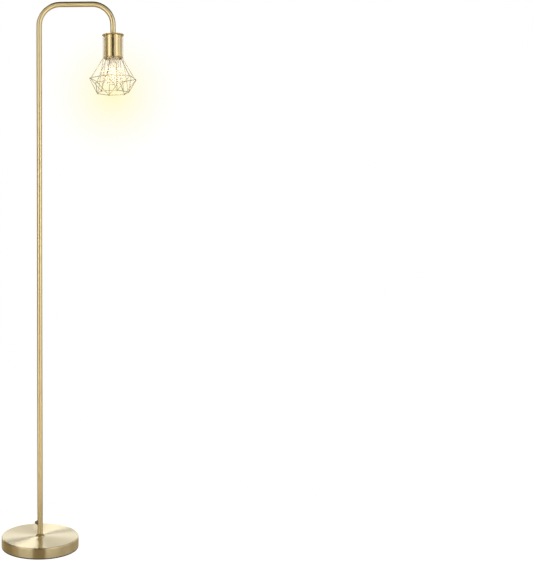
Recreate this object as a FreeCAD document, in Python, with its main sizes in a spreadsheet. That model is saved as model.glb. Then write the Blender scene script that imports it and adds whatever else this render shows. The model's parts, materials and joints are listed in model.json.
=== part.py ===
"""Arched floor lamp: a round weighted base, a pole of three screwed sections, an arched
top tube, and a bare bulb that hangs in a welded wire cage.

Millimetres.  The origin is the centre of the base on the floor, +Z is up, and the arch
reaches along +X.  The driving sizes are in SIZES; every level and fit below is worked
out from them.
"""
import FreeCAD
import Part
import Sketcher
import math
import os

from FreeCAD import Rotation, Vector

SIZES = (
    # Round base
    ("base_diameter", 228.6, "outside of the base cover, nine inches"),
    ("base_height", 32.0, "floor to the top of the base cover"),
    ("cover_wall", 1.2, "sheet of the spun base cover"),
    ("cover_edge_radius", 3.5, "rounding of the cover's top edge"),
    ("pad_thickness", 3.0, "foam pad under the base"),
    ("pad_inset", 0.8, "how far the pad stays inside the cover's edge"),
    ("weight_gap", 1.0, "side gap between the iron weight and the cover"),
    ("weight_plate", 14.0, "thickness of the weight's plate"),
    ("weight_rim", 12.0, "width of the rim that carries the cover"),
    ("weight_hub_diameter", 44.0, "boss round the stud"),
    ("weight_edge_radius", 4.0, "rounding of the weight's top edge"),
    ("recess_diameter", 34.0, "pocket for the nut under the weight"),
    ("recess_depth", 9.0, "depth of that pocket"),
    # Threaded pieces that hold the base, the pole and the head together
    ("stud_diameter", 9.7, "outside of all the lamp threads"),
    ("stud_bore", 6.4, "way for the lead through a hollow stud"),
    ("stud_reach", 14.0, "length of a stud inside each insert"),
    ("thread_play", 0.05, "radial play of a stud in its thread"),
    ("hole_play", 0.25, "radial play of a stud in a plain hole"),
    ("washer_diameter", 28.0, "washer under the base weight"),
    ("washer_thickness", 2.0, "that washer's thickness"),
    ("nut_across_flats", 16.0, "hexagon nut under the base weight"),
    ("nut_thickness", 6.0, "that nut's thickness"),
    ("insert_length", 16.0, "threaded plug in each tube end"),
    ("insert_play", 0.05, "radial play of a plug in its tube"),
    # Pole and arch
    ("tube_diameter", 16.0, "outside of the pole and of the arch"),
    ("tube_wall", 1.2, "wall of both"),
    ("section_length", 452.0, "one of the three straight pole sections"),
    ("arch_leg", 214.0, "last joint to the centre line of the arch's top"),
    ("arch_reach", 218.0, "pole axis to the axis of the hanging head"),
    ("arch_bend_radius", 62.0, "centre line of both bends"),
    ("arch_drop", 91.0, "centre line of the arch's top to the top of the cage"),
    # Flange at the foot of the pole
    ("flange_diameter", 28.0, "foot of the flange"),
    ("flange_edge", 1.4, "height of its outer edge"),
    ("flange_floor", 2.0, "floor that the pole stands on"),
    ("flange_height", 6.0, "height round the pole"),
    ("flange_wall", 1.3, "wall round the pole at the top"),
    ("flange_play", 0.1, "radial play round the pole"),
    # Outlet for the cord
    ("outlet_height", 38.0, "top of the base to the centre of the outlet"),
    ("outlet_diameter", 8.8, "barrel of the bushing in the pole's wall"),
    ("outlet_play", 0.1, "radial play of the bushing"),
    ("outlet_flange_diameter", 13.0, "flange against the pole"),
    ("outlet_flange_reach", 2.4, "how far the flange stands off the pole"),
    ("outlet_nose_reach", 7.5, "how far the nose stands off the pole"),
    ("outlet_nose_diameter", 7.6, "nose at its tip"),
    ("outlet_barrel_reach", 2.6, "how far the barrel reaches in from the pole's face"),
    ("lead_diameter", 5.2, "round sheath of the lamp lead"),
    ("lead_play", 0.1, "radial play of the lead in the bushing"),
    ("lead_tail", 16.0, "underside of the cage's top to the end of the sheath"),
    ("core_diameter", 1.6, "insulated cores of the lead"),
    ("core_spread", 2.2, "distance between the cores where the sheath ends"),
    # Cup over the lamp socket
    ("cup_diameter", 52.0, "outside of the cup"),
    ("cup_height", 68.5, "depth of the cup"),
    ("cup_wall", 1.0, "sheet of the cup"),
    ("cup_edge_radius", 3.0, "rounding of the cup's closed end"),
    ("cup_bead", 0.5, "how far the rolled edge stands out"),
    ("cup_bead_height", 2.0, "height of the rolled edge"),
    ("nipple_tail", 3.5, "end of the head's nipple below the socket cap's roof"),
    ("head_washer_diameter", 20.0, "washer inside the cup"),
    ("head_washer_thickness", 1.0, "that washer's thickness"),
    ("head_nut_across_flats", 14.0, "lock nut inside the cup"),
    ("head_nut_thickness", 3.5, "that nut's thickness"),
    # Socket for a standard screw-cap bulb
    ("socket_diameter", 40.0, "outside of the ceramic body"),
    ("socket_hub_diameter", 16.0, "threaded hub of the socket cap"),
    ("socket_hub_height", 6.0, "height of that hub"),
    ("socket_cap_wall", 0.8, "sheet of the socket cap"),
    ("socket_cap_height", 16.5, "depth of the socket cap's skirt"),
    ("socket_cap_edge_radius", 2.5, "rounding of the socket cap"),
    ("socket_spigot_height", 4.0, "part of the ceramic body inside the skirt"),
    ("socket_floor", 10.0, "ceramic between the screws and the bulb"),
    ("socket_depth", 26.5, "depth of the ceramic well"),
    ("shell_bore", 26.8, "inside of the screw shell, without its thread"),
    ("shell_wall", 0.5, "sheet of the screw shell"),
    ("shell_play", 0.05, "radial play of the shell in the ceramic"),
    ("shell_height", 24.5, "depth of the screw shell"),
    ("shell_hole_diameter", 18.0, "hole in the shell's bottom round the contact"),
    ("contact_gap", 0.3, "between the two centre contacts"),
    ("contact_height", 2.7, "well's bottom to the tip of the centre contact"),
    ("contact_diameter", 9.0, "foot of the centre contact"),
    ("rivet_diameter", 3.0, "rivet and terminal screw shanks"),
    ("rivet_play", 0.1, "radial play of those shanks in the ceramic"),
    ("screw_head_diameter", 6.0, "terminal screw heads"),
    ("screw_head_height", 2.0, "height of those heads"),
    ("screw_shank_length", 6.0, "length of those shanks"),
    ("screw_spacing", 23.0, "distance between the two terminal screws"),
    # Welded wire cage
    ("wire_diameter", 1.8, "all cage wires"),
    ("weld_gap", 0.02, "hairline that keeps welded wires separate solids"),
    ("cage_top_diameter", 64.6, "flat round top of the cage"),
    ("cage_top_thickness", 1.6, "its thickness"),
    ("cage_top_edge_radius", 0.5, "rounding of its rim"),
    ("cage_turn", 15.0, "degrees from +X to the first corner of the middle ring"),
    ("cage_sides", 6.0, "corners of the middle ring and of the bottom ring"),
    ("neck_radius", 29.9, "cage axis to the wires beside the cup"),
    ("neck_drop", 68.0, "cage top to the kink in the wires"),
    ("neck_bend_radius", 3.0, "bend of the wires at the kink"),
    ("neck_ring_rise", 2.5, "neck ring above the kink"),
    ("middle_radius", 69.2, "cage axis to the corners of the middle ring"),
    ("middle_drop", 127.0, "cage top to the middle ring"),
    ("bottom_radius", 48.0, "cage axis to the corners of the bottom ring"),
    ("bottom_drop", 168.5, "cage top to the bottom ring"),
    ("ring_bend_radius", 4.0, "corner bends of both rings"),
    ("middle_stub", 1.2, "wire end past the middle ring"),
    ("bottom_stub", 2.6, "wire end past the bottom ring"),
    ("zigzag_top_bend", 4.5, "bend of the zigzag wire at the middle ring"),
    ("zigzag_foot_bend", 2.6, "bend of the zigzag wire at the bottom ring"),
    ("zigzag_top_weld", 37.0, "degrees below level where it meets the middle ring"),
    ("zigzag_foot_weld", 60.0, "degrees above level where it meets the bottom ring"),
    # Bulb
    ("bulb_diameter", 60.0, "widest part of the glass"),
    ("bulb_length", 110.0, "tip of the contact to the bottom of the glass"),
    ("bulb_neck_diameter", 36.8, "straight neck below the cup"),
    ("bulb_throat_diameter", 24.6, "glass inside the screw cap"),
    ("bulb_shoulder_drop", 32.5, "tip of the contact to the bulb's shoulder"),
    ("bulb_shoulder_radius", 5.0, "rounding of that shoulder"),
    ("bulb_neck_bend", 12.0, "hollow curve between the neck and the globe"),
    ("bulb_wall", 0.8, "wall of the glass"),
    ("bulb_cap_diameter", 25.9, "crest of the screw cap's thread"),
    ("bulb_cap_wall", 0.35, "sheet of the screw cap"),
    ("bulb_cap_length", 25.5, "tip of the contact to the edge of the screw cap"),
    ("bulb_cap_lap", 8.0, "length of the glass inside the screw cap"),
    ("bulb_cap_chamfer", 1.5, "bevel of the screw cap's top edge"),
    ("bulb_tip_height", 1.0, "height of the solder contact"),
    ("bulb_tip_diameter", 8.0, "foot of the solder contact"),
    ("bulb_tip_edge_radius", 0.8, "rounding of the solder contact"),
    ("insulator_diameter", 17.0, "glass ring between the cap and the contact"),
    ("insulator_height", 1.6, "height of that ring above the cap"),
    ("insulator_flange", 1.0, "thickness of its flange inside the cap"),
    ("insulator_flange_diameter", 22.0, "width of that flange"),
    ("stem_diameter", 15.0, "glass stem inside the neck"),
    ("stem_drop", 53.0, "tip of the contact to the sealed end of the stem"),
    ("stem_taper", 8.0, "length of the stem's tapered end"),
    ("stem_bend", 3.0, "roundings of the stem"),
    ("rod_diameter", 2.4, "glass rod that carries the hooks"),
    ("filament_radius", 9.0, "bulb axis to the filament"),
    ("filament_top_drop", 57.0, "tip of the contact to the filament's upper turns"),
    ("filament_foot_drop", 99.0, "tip of the contact to its lower turns"),
    ("filament_diameter", 0.5, "coiled filament, as one round wire"),
    ("filament_turns", 11.0, "corners of the filament, its two ends included"),
    ("hook_diameter", 0.5, "hooks and lead-in wires"),
    ("hook_gap", 0.02, "hairline between a hook and the filament"),
)

POLE_SECTIONS = ("lower", "middle", "upper")
TERMINAL_SIDES = (-1, 1)
LACING_STEPS = 30
FULL_TURN = 360.0
HALF_TURN = 180.0
QUARTER_TURN = 90.0
SAME_PLACE = 0.01
PARTS_FOLDER = "parts"

doc = FreeCAD.newDocument("wire_cage_floor_lamp")
sheet = doc.addObject("Spreadsheet::Sheet", "Sizes")


class Size:
    """A size held twice: its number, and the sheet formula that gives that number."""

    def __init__(self, number, formula):
        self.number = number
        self.formula = formula

    def __add__(self, other):
        other = as_size(other)
        return Size(self.number + other.number, f"({self.formula} + {other.formula})")

    def __sub__(self, other):
        other = as_size(other)
        return Size(self.number - other.number, f"({self.formula} - {other.formula})")

    def __mul__(self, factor):
        return Size(self.number * factor, f"({self.formula} * {factor})")

    def __truediv__(self, divisor):
        return Size(self.number / divisor, f"({self.formula} / {divisor})")

    def __neg__(self):
        return self * -1


def as_size(value):
    """Lets a plain number, such as zero, stand beside the sheet's sizes."""
    return value if isinstance(value, Size) else Size(value, str(value))


class Sizes:
    """The sheet's cells by name, as in size.tube_diameter."""

    def __init__(self):
        for row, (name, number, note) in enumerate(SIZES, start=1):
            sheet.set(f"A{row}", name)
            sheet.set(f"B{row}", str(number))
            sheet.set(f"C{row}", note)
            sheet.setAlias(f"B{row}", name)
        doc.recompute()
        for name, _number, _note in SIZES:
            setattr(self, name, Size(float(sheet.get(name)), f"Sizes.{name}"))


# ---------------------------------------------------------------------------- sketches

def origin_plane(body, role):
    """One of a body's own three planes."""
    return next(item for item in body.Origin.OriginFeatures if item.Role == role)


def new_body(name):
    """An empty body that carries its node's name."""
    body = doc.addObject("PartDesign::Body", name)
    body.Label = name
    return body


def new_sketch(body, role, use):
    """A sketch on one of the body's own planes."""
    sketch = body.newObject("Sketcher::SketchObject", f"{body.Name}_{use}")
    sketch.AttachmentSupport = (origin_plane(body, role), [""])
    sketch.MapMode = "FlatFace"
    return sketch


def bind(sketch, kind, where, size):
    """One dimension of a sketch, tied to the sheet."""
    size = as_size(size)
    index = sketch.addConstraint(Sketcher.Constraint(kind, *where, size.number))
    sketch.setExpression(f"Constraints[{index}]", size.formula)


def bind_point(sketch, geometry, end, x, y):
    """Places one point of a sketch by its distances from the sketch's origin."""
    bind(sketch, "DistanceX", (-1, 1, geometry, end), x)
    bind(sketch, "DistanceY", (-1, 1, geometry, end), y)


def circle(sketch, radius, x=0, y=0):
    """A circle whose radius and centre follow the sheet."""
    centre = Vector(as_size(x).number, as_size(y).number, 0)
    index = sketch.addGeometry(Part.Circle(centre, Vector(0, 0, 1), radius.number))
    bind(sketch, "Radius", (index,), radius)
    bind_point(sketch, index, 3, x, y)


def bend_points(before, corner, after, radius):
    """Where a bend of the given radius leaves and rejoins the two straight runs, the
    middle of its arc, its centre, and its turn in degrees."""
    towards_before = (before - corner).normalize()
    towards_after = (after - corner).normalize()
    half_angle = towards_before.getAngle(towards_after) / 2
    setback = radius / math.tan(half_angle)
    inwards = (towards_before + towards_after).normalize()
    centre = corner + inwards * (radius / math.sin(half_angle))
    start = corner + towards_before * setback
    finish = corner + towards_after * setback
    turn = HALF_TURN - 2 * math.degrees(half_angle)
    return start, finish, centre - inwards * radius, centre, turn


def outline(sketch, corners, closed=True):
    """Straight lines through the corners.  A corner is (x, y), or (x, y, radius) where
    it is rounded; a rounded corner keeps a construction point where its lines meet."""
    count = len(corners)
    points = [Vector(as_size(c[0]).number, as_size(c[1]).number, 0) for c in corners]
    radii = [as_size(c[2]) if len(c) > 2 else None for c in corners]
    arrive = list(points)
    leave = list(points)
    arcs = {}
    for index, radius in enumerate(radii):
        if radius is None:
            continue
        before = points[index - 1]
        after = points[(index + 1) % count]
        start, finish, middle, _centre, _turn = bend_points(before, points[index], after,
                                                            radius.number)
        arrive[index] = start
        leave[index] = finish
        arcs[index] = Part.Arc(start, middle, finish)
    lines = count if closed else count - 1
    for index in range(lines):
        sketch.addGeometry(Part.LineSegment(leave[index], arrive[(index + 1) % count]))
    for index, (x, y, *_rounding) in enumerate(corners):
        line_in = (index - 1) % count if closed else index - 1
        line_out = index % count
        if index in arcs:
            round_corner(sketch, arcs[index], line_in, line_out, radii[index], x, y)
        elif not closed and index == count - 1:
            bind_point(sketch, line_in, 2, x, y)
        else:
            if closed or index > 0:
                sketch.addConstraint(Sketcher.Constraint("Coincident", line_in, 2,
                                                         line_out, 1))
            bind_point(sketch, line_out, 1, x, y)


def round_corner(sketch, arc, line_in, line_out, radius, x, y):
    """Joins two lines of a sketch with an arc that touches both."""
    curve = sketch.addGeometry(arc)
    start = sketch.getPoint(curve, 1)
    line_end = sketch.getPoint(line_in, 2)
    first, last = (1, 2) if start.distanceToPoint(line_end) < SAME_PLACE else (2, 1)
    sketch.addConstraint(Sketcher.Constraint("Tangent", line_in, 2, curve, first))
    sketch.addConstraint(Sketcher.Constraint("Tangent", line_out, 1, curve, last))
    bind(sketch, "Radius", (curve,), radius)
    corner = Vector(as_size(x).number, as_size(y).number, 0)
    point = sketch.addGeometry(Part.Point(corner), True)
    sketch.addConstraint(Sketcher.Constraint("PointOnObject", point, 1, line_in))
    sketch.addConstraint(Sketcher.Constraint("PointOnObject", point, 1, line_out))
    bind_point(sketch, point, 1, x, y)


# ------------------------------------------------------------------- kinds of pieces

def put(piece, x=0, z=0, turn=0.0):
    """Moves a body to its place on the lamp.  Its place follows the sheet."""
    x = as_size(x)
    z = as_size(z)
    turn = as_size(turn)
    piece.Placement = FreeCAD.Placement(Vector(x.number, 0, z.number),
                                        Rotation(Vector(0, 0, 1), turn.number))
    piece.setExpression("Placement.Base.x", x.formula)
    piece.setExpression("Placement.Base.z", z.formula)
    if turn.number:
        piece.setExpression("Placement.Rotation.Angle", turn.formula)
    return piece


def spin(body, use, corners):
    """Adds the solid that a half section (radius, height) makes round the upright axis."""
    section = new_sketch(body, "XZ_Plane", f"{use}_section")
    outline(section, corners)
    solid = body.newObject("PartDesign::Revolution", f"{body.Name}_{use}")
    solid.Profile = section
    solid.ReferenceAxis = (section, ["V_Axis"])
    solid.Angle = FULL_TURN


def turned(name, corners, x=0, z=0):
    """A turned or spun piece, drawn as one half section."""
    body = new_body(name)
    spin(body, "turned", corners)
    return put(body, x, z)


def round_bar(name, radius, length, bore=None, x=0, z=0):
    """A round bar or tube that stands on its end."""
    body = new_body(name)
    section = new_sketch(body, "XY_Plane", "section")
    circle(section, radius)
    if bore is not None:
        circle(section, bore)
    solid = body.newObject("PartDesign::Pad", f"{name}_pad")
    solid.Profile = section
    solid.Length = length.number
    solid.setExpression("Length", length.formula)
    return put(body, x, z)


def hexagon_nut(name, across_flats, thickness, bore, x=0, z=0):
    """A hexagon nut, without its thread."""
    body = new_body(name)
    section = new_sketch(body, "XY_Plane", "section")
    apothem = across_flats / 2
    corner_radius = across_flats / math.sqrt(3)
    outline(section, [(apothem, corner_radius / 2), (0, corner_radius),
                      (-apothem, corner_radius / 2), (-apothem, -corner_radius / 2),
                      (0, -corner_radius), (apothem, -corner_radius / 2)])
    circle(section, bore)
    solid = body.newObject("PartDesign::Pad", f"{name}_pad")
    solid.Profile = section
    solid.Length = thickness.number
    solid.setExpression("Length", thickness.formula)
    return put(body, x, z)


def bent_bar(name, corners, radius, bore=None, x=0, z=0, turn=0.0):
    """A bar or tube along an upright path that leaves the ground plane squarely."""
    body = new_body(name)
    path = new_sketch(body, "XZ_Plane", "path")
    outline(path, corners, closed=False)
    kinds = [("PartDesign::AdditivePipe", radius, "sweep")]
    if bore is not None:
        kinds.append(("PartDesign::SubtractivePipe", bore, "bore"))
    for kind, section_radius, use in kinds:
        section = new_sketch(body, "XY_Plane", f"{use}_section")
        circle(section, section_radius, corners[0][0])
        sweep = body.newObject(kind, f"{name}_{use}")
        sweep.Profile = section
        sweep.Spine = path
    return put(body, x, z, turn)


def round_face(centre, direction, radius):
    """A filled circle square to a direction: the section of a wire."""
    edge = Part.Circle(centre, direction, radius).toShape()
    return Part.Face(Part.Wire(edge))


def bent_wire(corners, bends, radius, closed):
    """A round wire: a straight run to each bend, and the section swung round the bend.
    A closed wire starts and ends in the middle of its last run."""
    count = len(corners)
    if closed:
        seam = (corners[-1] + corners[0]) / 2
        route = [seam, *corners, seam]
        bends = [None, *bends, None]
    else:
        route = list(corners)
        bends = [None, *bends[1:count - 1], None]
    pieces = []
    here = route[0]
    for index in range(1, len(route)):
        heading = (route[index] - here).normalize()
        section = round_face(here, heading, radius)
        if bends[index] is None:
            pieces.append(section.extrude(route[index] - here))
            continue
        start, finish, _middle, centre, turn = bend_points(
            here, route[index], route[index + 1], bends[index])
        pieces.append(section.extrude(start - here))
        axis = heading.cross(route[index + 1] - route[index]).normalize()
        pieces.append(round_face(start, heading, radius).revolve(centre, axis, turn))
        here = finish
    return pieces[0].multiFuse(pieces[1:]).removeSplitter()


def shaped(name, shape, x=0.0, z=0.0, turn=0.0):
    """A piece whose shape is worked out here from the sheet's numbers."""
    piece = doc.addObject("Part::Feature", name)
    piece.Label = name
    piece.Shape = shape
    piece.Placement = FreeCAD.Placement(Vector(x, 0, z), Rotation(Vector(0, 0, 1), turn))
    return piece


def polar(radius, degrees, height):
    """A point by its distance from the upright axis, its bearing and its height."""
    bearing = math.radians(degrees)
    return Vector(radius * math.cos(bearing), radius * math.sin(bearing), height)


# -------------------------------------------------------------------------- the levels

size = Sizes()

stud_radius = size.stud_diameter / 2
stud_hole = stud_radius + size.hole_play
stud_thread = stud_radius + size.thread_play
stud_bore = size.stud_bore / 2
tube_radius = size.tube_diameter / 2
tube_bore = tube_radius - size.tube_wall

base_top = size.base_height
cover_underside = base_top - size.cover_wall
recess_top = size.pad_thickness + size.recess_depth
washer_underside = recess_top - size.washer_thickness
nut_underside = washer_underside - size.nut_thickness
pole_foot = base_top + size.flange_floor
section_feet = [pole_foot + size.section_length * index for index in range(len(POLE_SECTIONS))]
arch_foot = pole_foot + size.section_length * len(POLE_SECTIONS)
arch_centre_line = arch_foot + size.arch_leg
outlet_centre = base_top + size.outlet_height

# The head hangs from the cage's top; its heights are counted from that plate's underside.
head_axis = size.arch_reach
cage_top = arch_centre_line - size.arch_drop
cage_datum = cage_top - size.cage_top_thickness
washer_top = -size.cup_wall
head_nut_top = washer_top - size.head_washer_thickness
socket_hub_top = head_nut_top - size.head_nut_thickness
socket_cap_top = socket_hub_top - size.socket_hub_height
socket_cap_foot = socket_cap_top - size.socket_cap_height
socket_top = socket_cap_foot + size.socket_spigot_height
well_bottom = socket_top - size.socket_floor
well_mouth = well_bottom - size.socket_depth
contact_tip = well_bottom - size.contact_height
bulb_tip = contact_tip - size.contact_gap


# ----------------------------------------------------------------------------- the base

def make_base():
    """Pad, iron weight, spun cover, and the stud that ties them to the pole."""
    cover_radius = size.base_diameter / 2
    cover_bore = cover_radius - size.cover_wall
    weight_radius = cover_bore - size.weight_gap
    rim_bore = weight_radius - size.weight_rim
    plate_top = size.pad_thickness + size.weight_plate
    hub_radius = size.weight_hub_diameter / 2
    recess_radius = size.recess_diameter / 2

    round_bar("base_pad", cover_radius - size.pad_inset, size.pad_thickness)
    turned("base_weight", [
        (recess_radius, size.pad_thickness),
        (weight_radius, size.pad_thickness),
        (weight_radius, cover_underside, size.weight_edge_radius),
        (rim_bore, cover_underside),
        (rim_bore, plate_top),
        (hub_radius, plate_top),
        (hub_radius, cover_underside),
        (stud_hole, cover_underside),
        (stud_hole, recess_top),
        (recess_radius, recess_top)])
    turned("base_cover", [
        (cover_radius, size.pad_thickness),
        (cover_radius, base_top, size.cover_edge_radius),
        (stud_hole, base_top),
        (stud_hole, cover_underside),
        (cover_bore, cover_underside, size.cover_edge_radius - size.cover_wall),
        (cover_bore, size.pad_thickness)])
    round_bar("base_washer", size.washer_diameter / 2, size.washer_thickness,
              bore=stud_hole, z=washer_underside)
    hexagon_nut("base_nut", size.nut_across_flats, size.nut_thickness, stud_thread,
                z=nut_underside)
    round_bar("base_stud", stud_radius, pole_foot + size.stud_reach - nut_underside,
              z=nut_underside)


# ----------------------------------------------------------------------------- the pole

def make_flange():
    """The flared flange that the stud clamps down and that the pole stands in."""
    seat = tube_radius + size.flange_play
    turned("pole_flange", [
        (stud_hole, 0),
        (size.flange_diameter / 2, 0),
        (size.flange_diameter / 2, size.flange_edge),
        (seat + size.flange_wall, size.flange_height),
        (seat, size.flange_height),
        (seat, size.flange_floor),
        (stud_hole, size.flange_floor)], z=base_top)


def make_insert(name, x, z):
    """A threaded plug, flush with the end of its tube."""
    round_bar(name, tube_bore - size.insert_play, size.insert_length, bore=stud_thread,
              x=x, z=z)


def make_pole():
    """Three equal tubes, each with a threaded plug in both ends, and hollow studs."""
    for section, foot in zip(POLE_SECTIONS, section_feet):
        top = foot + size.section_length
        tube = round_bar(f"{section}_pole", tube_radius, size.section_length,
                         bore=tube_bore, z=foot)
        if section == POLE_SECTIONS[0]:
            cut_outlet(tube, outlet_centre - foot)
        make_insert(f"{section}_pole_foot_insert", 0, foot)
        make_insert(f"{section}_pole_top_insert", 0, top - size.insert_length)
        round_bar(f"{section}_joint_stud", stud_radius, size.stud_reach * 2,
                  bore=stud_bore, z=top - size.stud_reach)


def cut_outlet(tube, height):
    """Drills the lowest tube through its -X wall for the cord bushing."""
    section = new_sketch(tube, "YZ_Plane", "outlet_section")
    circle(section, size.outlet_diameter / 2 + size.outlet_play, 0, height)
    hole = tube.newObject("PartDesign::Pocket", "outlet_hole")
    hole.Profile = section
    hole.Length = size.tube_diameter.number
    hole.setExpression("Length", size.tube_diameter.formula)


def cut_through(body, section, length):
    """Cuts a section right through a body, equally to both sides of its plane."""
    cut = body.newObject("PartDesign::Pocket", f"{section.Name}_cut")
    cut.Profile = section
    cut.Midplane = True
    cut.Length = length.number
    cut.setExpression("Length", length.formula)


def make_bushing():
    """The bushing that guides the cord out of the pole: a flange saddled to the pole, a
    tapered nose, and a barrel in the pole's wall.  It is drawn upright, then laid down."""
    bore = size.lead_diameter / 2 + size.lead_play
    barrel_radius = size.outlet_diameter / 2
    flange_radius = size.outlet_flange_diameter / 2
    flange_top = tube_radius + size.outlet_flange_reach
    nose_top = tube_radius + size.outlet_nose_reach
    body = new_body("cord_bushing")
    spin(body, "nose", [
        (bore, 0),
        (flange_radius, 0),
        (flange_radius, flange_top),
        (barrel_radius, flange_top),
        (size.outlet_nose_diameter / 2, nose_top),
        (bore, nose_top)])
    saddle = new_sketch(body, "YZ_Plane", "saddle_section")
    circle(saddle, tube_radius + size.outlet_play)
    cut_through(body, saddle, size.outlet_flange_diameter)
    spin(body, "barrel", [
        (bore, tube_radius - size.outlet_barrel_reach),
        (barrel_radius, tube_radius - size.outlet_barrel_reach),
        (barrel_radius, flange_top),
        (bore, flange_top)])
    body.Placement = FreeCAD.Placement(Vector(0, 0, outlet_centre.number),
                                       Rotation(Vector(0, 1, 0), -QUARTER_TURN))
    body.setExpression("Placement.Base.z", outlet_centre.formula)


def make_arch():
    """The bent top tube, with a threaded plug in each end."""
    top = size.arch_leg
    end = size.arch_leg - size.arch_drop
    bent_bar("arch_tube", [
        (0, 0),
        (0, top, size.arch_bend_radius),
        (size.arch_reach, top, size.arch_bend_radius),
        (size.arch_reach, end)], tube_radius, bore=tube_bore, z=arch_foot)
    make_insert("arch_foot_insert", 0, arch_foot)
    make_insert("arch_end_insert", head_axis, cage_top)


def make_lead():
    """The lamp lead: in at the bushing, up the pole, over the arch and down to the socket,
    drawn from its upper end.  Two cores leave the sheath for the terminal screws."""
    lead_radius = size.lead_diameter / 2
    tail = cage_datum - size.lead_tail
    nose_tip = head_axis + tube_radius + size.outlet_nose_reach
    bent_bar("lamp_lead", [
        (0, 0),
        (0, arch_centre_line - tail, size.arch_bend_radius),
        (-head_axis, arch_centre_line - tail, size.arch_bend_radius),
        (-head_axis, outlet_centre - tail, size.lead_diameter),
        (-nose_tip, outlet_centre - tail)], lead_radius, x=head_axis, z=tail)
    core_radius = size.core_diameter.number / 2
    spread = size.core_spread.number / 2
    drop = (size.lead_tail + socket_top + size.screw_head_height).number
    reach = size.screw_spacing.number / 2
    cores = []
    for side in TERMINAL_SIDES:
        route = [Vector(side * spread, 0, 0), Vector(side * spread, 0, drop / 2),
                 Vector(side * reach, 0, drop / 2), Vector(side * reach, 0, drop)]
        bend = size.core_diameter.number
        cores.append(bent_wire(route, [None, bend, bend, None], core_radius, closed=False))
    shaped("lead_cores", Part.makeCompound(cores), head_axis.number, tail.number)


# ------------------------------------------------------------------ cup and lamp socket

def make_cup():
    """The spun cup, and the hollow nipple, washer and lock nut that hold the whole head
    to the arch."""
    cup_radius = size.cup_diameter / 2
    cup_bore = cup_radius - size.cup_wall
    mouth = -size.cup_height
    bead_radius = cup_radius + size.cup_bead
    bead_top = mouth + size.cup_bead_height
    turned("socket_cup", [
        (stud_hole, 0),
        (cup_radius, 0, size.cup_edge_radius),
        (cup_radius, bead_top),
        (bead_radius, bead_top - size.cup_bead),
        (bead_radius, mouth),
        (cup_bore, mouth),
        (cup_bore, -size.cup_wall, size.cup_edge_radius - size.cup_wall),
        (stud_hole, -size.cup_wall)], x=head_axis, z=cage_datum)
    nipple_foot = cage_datum + socket_cap_top - size.nipple_tail
    round_bar("head_nipple", stud_radius, cage_top + size.stud_reach - nipple_foot,
              bore=stud_bore, x=head_axis, z=nipple_foot)
    round_bar("head_washer", size.head_washer_diameter / 2, size.head_washer_thickness,
              bore=stud_hole, x=head_axis, z=cage_datum + head_nut_top)
    hexagon_nut("head_lock_nut", size.head_nut_across_flats, size.head_nut_thickness,
                stud_thread, x=head_axis, z=cage_datum + socket_hub_top)


def make_socket():
    """Socket cap, ceramic body, screw shell, centre contact and terminal screws."""
    body_radius = size.socket_diameter / 2
    skirt_bore = body_radius - size.socket_cap_wall
    hub_radius = size.socket_hub_diameter / 2
    roof_underside = socket_cap_top - size.socket_cap_wall
    turned("socket_cap", [
        (stud_thread, socket_hub_top),
        (hub_radius, socket_hub_top),
        (hub_radius, socket_cap_top),
        (body_radius, socket_cap_top, size.socket_cap_edge_radius),
        (body_radius, socket_cap_foot),
        (skirt_bore, socket_cap_foot),
        (skirt_bore, roof_underside, size.socket_cap_edge_radius - size.socket_cap_wall),
        (stud_thread, roof_underside)], x=head_axis, z=cage_datum)

    rivet_radius = size.rivet_diameter / 2
    rivet_hole = rivet_radius + size.rivet_play
    shell_outside = size.shell_bore / 2 + size.shell_wall
    well_radius = shell_outside + size.shell_play
    spigot_radius = skirt_bore - size.shell_play
    ceramic = turned("socket_body", [
        (rivet_hole, socket_top),
        (spigot_radius, socket_top),
        (spigot_radius, socket_cap_foot),
        (body_radius, socket_cap_foot),
        (body_radius, well_mouth),
        (well_radius, well_mouth),
        (well_radius, well_bottom),
        (rivet_hole, well_bottom)], x=head_axis, z=cage_datum)
    for side in TERMINAL_SIDES:
        drill_for_screw(ceramic, side, rivet_hole)

    turned("socket_screw_shell", [
        (size.shell_hole_diameter / 2, well_bottom),
        (shell_outside, well_bottom),
        (shell_outside, well_bottom - size.shell_height),
        (size.shell_bore / 2, well_bottom - size.shell_height),
        (size.shell_bore / 2, well_bottom - size.shell_wall),
        (size.shell_hole_diameter / 2, well_bottom - size.shell_wall)],
        x=head_axis, z=cage_datum)
    turned("socket_centre_contact", [
        (0, socket_top + size.shell_wall),
        (rivet_radius * 2, socket_top + size.shell_wall),
        (rivet_radius * 2, socket_top),
        (rivet_radius, socket_top),
        (rivet_radius, well_bottom),
        (size.contact_diameter / 2, well_bottom),
        (size.contact_diameter / 2, well_bottom - size.shell_wall),
        (rivet_radius, contact_tip),
        (0, contact_tip)], x=head_axis, z=cage_datum)
    make_terminal_screws()


def drill_for_screw(ceramic, side, radius):
    """A blind hole in the ceramic's top for one terminal screw."""
    section = new_sketch(ceramic, "XY_Plane", f"screw_hole_{side + 1}")
    section.AttachmentOffset = FreeCAD.Placement(Vector(0, 0, socket_top.number),
                                                 Rotation())
    section.setExpression("AttachmentOffset.Base.z", socket_top.formula)
    circle(section, radius, size.screw_spacing / 2 * side)
    hole = ceramic.newObject("PartDesign::Pocket", f"screw_hole_cut_{side + 1}")
    hole.Profile = section
    depth = size.screw_shank_length + size.rivet_play
    hole.Length = depth.number
    hole.setExpression("Length", depth.formula)


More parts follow.
